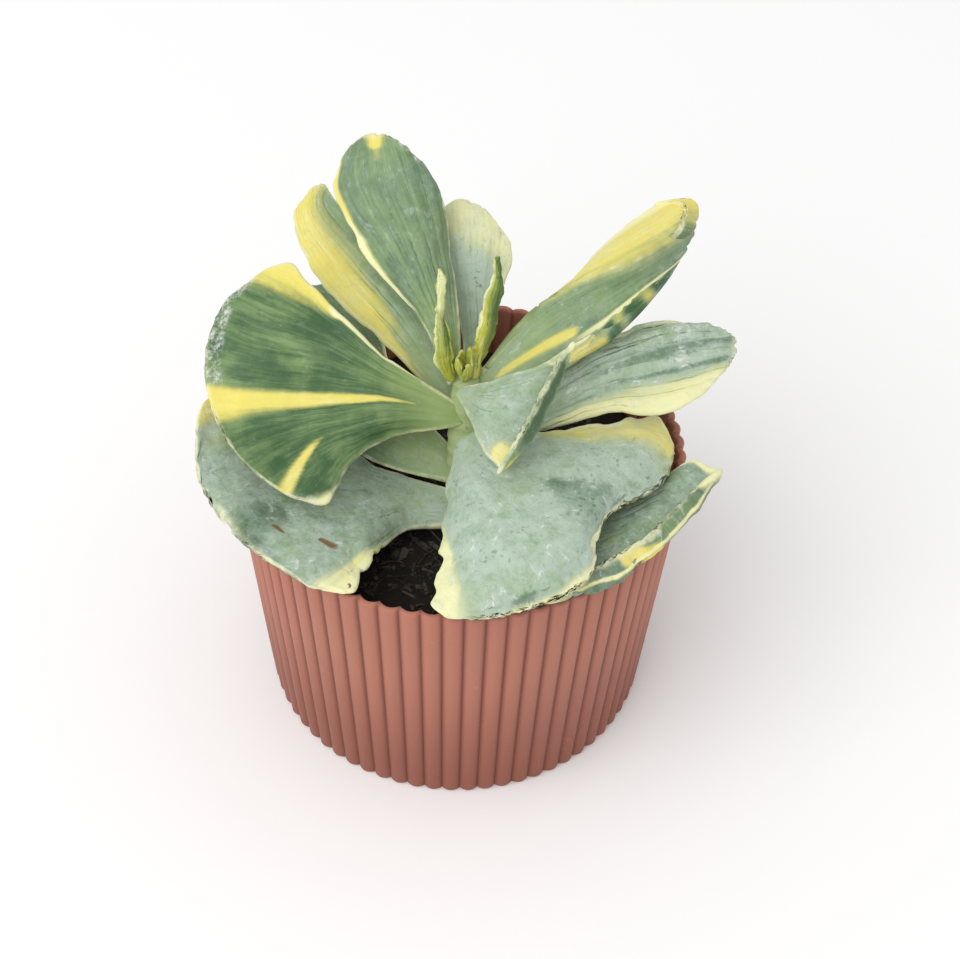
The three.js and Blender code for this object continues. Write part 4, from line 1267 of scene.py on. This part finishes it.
def tissue(tree, values, green, deep_green, foot_green):
    away_from_foot = smooth_step(tree, values.along, 0.08, 0.45)
    streak_push = product(tree, centred(tree, values.fine_streaks, 1.2), away_from_foot)
    cloud_push = centred(tree, values.clouds, 1.6)
    # The shade field darkens the green here, which on some leaves is painted shade, and below zero
    # painted light.
    depth = total(tree, values.shade, streak_push, cloud_push, centred(tree, values.streaks, 1.0))
    colour = mix_colours(tree, smooth_step(tree, depth, -0.1, 0.95), green, deep_green)
    foot_end = total(tree, values.along, centred(tree, values.streaks, 0.2))
    foot_share = smooth_step(tree, foot_end, 0.42, 0.05, 0.0, 0.85)
    return mix_colours(tree, foot_share, colour, foot_green)


def with_sectors(tree, values, colour, yellow, cream):
    lit = total(tree, values.fine_streaks, centred(tree, values.clouds, 0.8))
    yellow_tone = mix_colours(tree, smooth_step(tree, lit, 0.42, 0.8, 0.0, 0.5), yellow, cream)
    yellow_share = frayed(tree, values, values.yellow, 1.1, 0.1, 0.9)
    cream_share = frayed(tree, values, values.cream, 0.9, 0.1, 0.9)
    colour = mix_colours(tree, yellow_share, colour, yellow_tone)
    sector = calc(tree, "MAXIMUM", yellow_share, cream_share)
    off_sector = smooth_step(tree, sector, 0.0, 1.0, 1.0, 0.4)
    return mix_colours(tree, cream_share, colour, cream), off_sector


# %% [markdown]
# The wax lies thinner on dark tissue and on the underside. Where it is thick, it has white cracks and
# dark pits. The crusts and scars are painted fields, like the sectors.

# %% Wax, cracks, crusts, pits and scars
CRACK_WHITE = srgb(226, 233, 222)
SCAR_BROWN = srgb(122, 98, 66)


def with_wax(tree, values, colour, wax, off_sector):
    gaps = total(tree, 0.84, centred(tree, values.mottle, 1.5), centred(tree, values.clouds, 1.2))
    cover = total(tree, gaps, centred(tree, values.powder, 0.8))
    shade_gap = smooth_step(tree, values.shade, 0.45, 1.2, 1.0, 0.5)
    on_top = smooth_step(tree, values.under, 0.4, 0.6, 1.0, 0.55)
    wax_share = product(tree, values.bloom, cover, shade_gap, on_top, off_sector)
    wax_share = smooth_step(tree, wax_share, 0.0, 1.0, 0.0, 0.9)
    return mix_colours(tree, wax_share, colour, wax), wax_share


def with_cracks_and_crusts(tree, values, colour):
    lines = noise_value(tree, stretched(tree, values.blade, 16, 5, 1), 1.0, 3.0, 0.55)
    line_gap = calc(tree, "ABSOLUTE", centred(tree, lines, 1.0))
    broken = smooth_step(tree, values.mottle, 0.5, 0.62)
    crack = product(tree, smooth_step(tree, line_gap, 0.03, 0.0), broken, values.bloom, 0.8)
    crust_grain = total(tree, values.mottle, centred(tree, values.powder, 0.8))
    crust_place = smooth_step(tree, values.crust, 0.0, 0.8)
    crust_share = product(tree, crust_place, smooth_step(tree, crust_grain, 0.4, 0.7), 0.75)
    white_share = calc(tree, "MAXIMUM", crack, crust_share)
    return mix_colours(tree, white_share, colour, CRACK_WHITE), white_share


def with_pits_and_scars(tree, values, colour, deep_green, off_sector):
    speckles = noise_value(tree, values.place, 620.0, 2.0, 0.5)
    pit = smooth_step(tree, speckles, 0.59, 0.69)
    pit = product(tree, pit, smooth_step(tree, values.clouds, 0.44, 0.6), values.bloom, off_sector, 0.45)
    colour = mix_colours(tree, pit, colour, deep_green)
    return mix_colours(tree, frayed(tree, values, values.scar, 1.6, 0.15, 0.85), colour, SCAR_BROWN), pit


# %% [markdown]
# The whole skin is the layers in their order. The line along the margin comes last. Wax makes the
# skin duller, and every layer leaves a little relief. Grown and young leaves differ in their colours.

# %% Leaf material


def leaf_material(name, green, deep_green, foot_green, yellow, cream, wax, margin_tone):
    material, tree, shader = new_material(name)
    values = skin_values(tree)
    colour = tissue(tree, values, green, deep_green, foot_green)
    colour, off_sector = with_sectors(tree, values, colour, yellow, cream)
    colour, wax_share = with_wax(tree, values, colour, wax, off_sector)
    colour, white_share = with_cracks_and_crusts(tree, values, colour)
    colour, pit = with_pits_and_scars(tree, values, colour, deep_green, off_sector)
    unevenness = total(tree, values.mottle, centred(tree, values.clouds, 0.8))
    uneven = smooth_step(tree, unevenness, 0.35, 0.65, 0.15, 0.85)
    colour = mix_colours(tree, product(tree, values.margin, uneven), colour, margin_tone)
    roughness = smooth_step(tree, wax_share, 0.0, 0.7, 0.44, 0.75)
    fill(tree, shader, {"Base Color": colour, "Roughness": roughness, "Specular IOR Level": 0.3})
    relief = total(
        tree,
        product(tree, values.fine_streaks, 0.4),
        product(tree, values.mottle, values.bloom, 0.9),
        product(tree, values.powder, 0.35),
        product(tree, white_share, 0.3),
        product(tree, pit, -0.5),
    )
    add_bump(tree, shader, relief, 0.4 * MM)
    return material


leaf_skin = leaf_material(
    "leaf_skin",
    green=srgb(134, 160, 104),
    deep_green=srgb(56, 92, 52),
    foot_green=srgb(154, 174, 108),
    yellow=srgb(232, 218, 108),
    cream=srgb(242, 238, 178),
    wax=srgb(186, 203, 188),
    margin_tone=srgb(232, 232, 190),
)
young_skin = leaf_material(
    "young_skin",
    green=srgb(168, 180, 84),
    deep_green=srgb(84, 112, 54),
    foot_green=srgb(160, 162, 48),
    yellow=srgb(186, 184, 56),
    cream=srgb(226, 230, 168),
    wax=srgb(210, 218, 170),
    margin_tone=srgb(216, 224, 140),
)
print("nodes in a leaf's skin:", len(leaf_skin.node_tree.nodes))

# %% [markdown]
# ## Grow the leaves
#
# Each leaf's middle surface is brought to life, given its thickness on both sides, and painted. Its
# foot stands at the stem and is thicker than the rest. No point goes past the box of the solids.

# %% Grow one leaf
LEAF_EDGE = 1.3 * MM
BUD_EDGE = 0.7 * MM
MARGIN_LINE = (0.3 * MM, 1.3 * MM)  # the pale line fades between these distances from the margin
BLADE_SPACING = 5  # keeps two seeds apart in the noise of the veins
SEED_STEP = 10  # leaves room for the seeds that one leaf uses


def grow_blade(name, leaf, look, seed, young):
    size = YOUNG_SIZE if young else 1.0
    surface, along, across, length = middle_surface(leaf)
    surface = enliven(surface, along, across, length, look, seed, size)
    distance = np.minimum.reduce(margin_distances(surface, along, length))
    half = half_thickness(leaf["thick"] * MM, BUD_EDGE if young else LEAF_EDGE, distance, along)
    normal = directions(surface)[2]
    low, high = (np.array(corner) for corner in cad_box)
    upper = np.clip(surface + normal * half[..., None], low, high)
    lower = np.clip(surface - normal * half[..., None], low, high)

    shown_across = (across + 1) / 2
    fields = tint_fields(look, along, shown_across)
    margin = 1 - soft(distance, *(size * reach for reach in MARGIN_LINE))
    blade = np.stack([shown_across + BLADE_SPACING * seed, along, np.full(along.shape, seed)], axis=-1)
    tint = np.stack([fields["yellow"], fields["cream"], fields["shade"], fields["crust"]], axis=-1)
    bloom = np.full(along.shape, look["bloom"])
    skin = [
        np.stack([bloom, margin, np.full(along.shape, under), fields["scar"]], axis=-1)
        for under in (0.0, 1.0)
    ]
    attributes = {
        "blade": ("FLOAT_VECTOR", "vector", np.stack([blade, blade])),
        "tint": ("FLOAT_COLOR", "color", np.stack([tint, tint])),
        "skin": ("FLOAT_COLOR", "color", np.stack(skin)),
    }
    piece = blade_object(name, upper, lower, attributes)
    piece.data.materials.append(young_skin if young else leaf_skin)
    return piece


# %% Grow all the leaves
for seed, (name, leaf) in enumerate(LEAVES.items(), start=1):
    young = name.endswith("bud_leaf")
    piece = grow_blade(name.replace("leaf", "blade"), leaf, LOOKS[name], SEED_STEP * seed, young)
    place_piece(piece, "young_leaf" if young else "variegated_leaf", name)

# %% [markdown]
# ## Growing tip
#
# Between the two youngest leaves stands a knot of tiny scales, each a blade of its own, curled round
# the middle. Their rows follow a rule, so they are worked out instead of written down: each scale
# stands on a small circle, leans out and closes in again at its tip.

# %% Scales of the growing tip
TIP_MIDDLE = (0.6, -0.8)  # x and y, in millimetres
TIP_FOOT = 98.8
TIP_SCALES = 4
TIP_TURN = 0.6  # radians, to the first scale
TIP_SEED = 200
SHORTER_EACH = 0.13
HUG = -0.35  # how far a scale's margins curl round the middle, in times its half width
SCALE_PROFILE = ((0.3, 0.0, 0.9), (1.3, 2.6, 1.5), (1.8, 5.4, 1.6), (1.4, 9.0, 0.8))
TIP_LOOK = dict(
    bloom=0.0, shade=0.35, scallops=1.2, ripples=1.8, folds=0.8, dents=1.2,
    strokes=[
        ("yellow", (0.0, 0.5), (1.0, 0.5), (0.3, 0.3)),
    ],
)


def scale_rows(turn, reach):
    """Rows of a scale that faces the way `turn`, from (distance out, height, half width)."""
    out = np.array([math.cos(turn), math.sin(turn), 0])
    side = np.array([-math.sin(turn), math.cos(turn), 0])
    foot = np.array([*TIP_MIDDLE, TIP_FOOT])
    rows = []
    for distance, height, half_width in SCALE_PROFILE:
        middle = foot + out * distance + np.array([0, 0, height * reach])
        hug = out * HUG * half_width
        rows.append([middle - side * half_width + hug, middle, middle + side * half_width + hug])
    return rows


scales = []
for k in range(TIP_SCALES):
    rows = scale_rows(k / TIP_SCALES * TAU + TIP_TURN, 1 - SHORTER_EACH * k)
    leaf = dict(thick=0.7, round_share=0.3, rows=rows)
    scales.append(grow_blade(f"tip_scale_{k}", leaf, TIP_LOOK, TIP_SEED + SEED_STEP * k, True))
tip_piece = scales[0]
tip_piece.name = "growing_tip_scales"
gather = bmesh.new()
for piece in scales:
    gather.from_mesh(piece.data)
gather.to_mesh(tip_piece.data)
gather.free()
for piece in scales[1:]:
    bpy.data.objects.remove(piece)
place_piece(tip_piece, "young_leaf", "growing_tip")

# %% [markdown]
# ## Stem
#
# The stem is fleshy and pale green, ringed by the scars of leaves that it has dropped. It is a tube
# through five rings, read finely by the same spline as the leaves.

# %% Stem material
stem_skin, tree, shader = new_material("stem_skin")
place = object_place(tree)
bands = noise_value(tree, stretched(tree, place, 120, 120, 420), 1.0, 4.0, 0.6)
stem_colour = mix_colours(tree, bands, srgb(132, 152, 92), srgb(176, 188, 138))
freckles = smooth_step(tree, noise_value(tree, place, 900.0, 3.0), 0.62, 0.72, 0.0, 0.6)
stem_colour = mix_colours(tree, freckles, stem_colour, srgb(128, 108, 76))
fill(tree, shader, {"Base Color": stem_colour, "Roughness": 0.55})
add_bump(tree, shader, bands, 0.3 * MM)
print("nodes in the stem's skin:", len(tree.nodes))

# %% Stem
STEM_RINGS = np.array([
    (1, -15.5, 48, 3.6),
    (1, -12, 60, 4.6),
    (1, -8, 76, 4.3),
    (1, -3, 90, 4),
    (1, -0.5, 98.5, 3.2),
]) * MM
STEM_ROWS = 70
STEM_SIDES = 40
SCAR_SPACING = 6.5 * MM
SCAR_HEIGHT = 0.25 * MM
SCAR_SLANT = 0.8  # radians
SCAR_SHARPNESS = 6
BUMP_HEIGHT = 0.2 * MM
BUMP_LENGTH = 4 * MM

stem_heights = np.linspace(STEM_RINGS[0, 2], STEM_RINGS[-1, 2], STEM_ROWS)
stem_points = []
for x, y, z, radius in through(STEM_RINGS[:, 2], STEM_RINGS, stem_heights):
    for side in range(STEM_SIDES):
        angle = side / STEM_SIDES * TAU
        wave = math.cos(z / SCAR_SPACING * TAU + SCAR_SLANT * math.sin(angle))
        scar = SCAR_HEIGHT * wave**SCAR_SHARPNESS
        bump_place = Vector((math.cos(angle), math.sin(angle), z / BUMP_LENGTH))
        bump = BUMP_HEIGHT * noise.noise(bump_place)
        r = radius + scar - SCAR_HEIGHT + bump
        stem_points.append((x + r * math.cos(angle), y + r * math.sin(angle), z))
stem_faces = ring_quads(STEM_ROWS, STEM_SIDES)
stem_faces.append(list(reversed(range(STEM_SIDES))))
stem_faces.append([(STEM_ROWS - 1) * STEM_SIDES + side for side in range(STEM_SIDES)])
stem_piece = new_object("stem_stalk", stem_points, faces=stem_faces)
stem_piece.data.materials.append(stem_skin)
stem_piece.data.shade_smooth()
place_piece(stem_piece, "stem_skin", "stem")
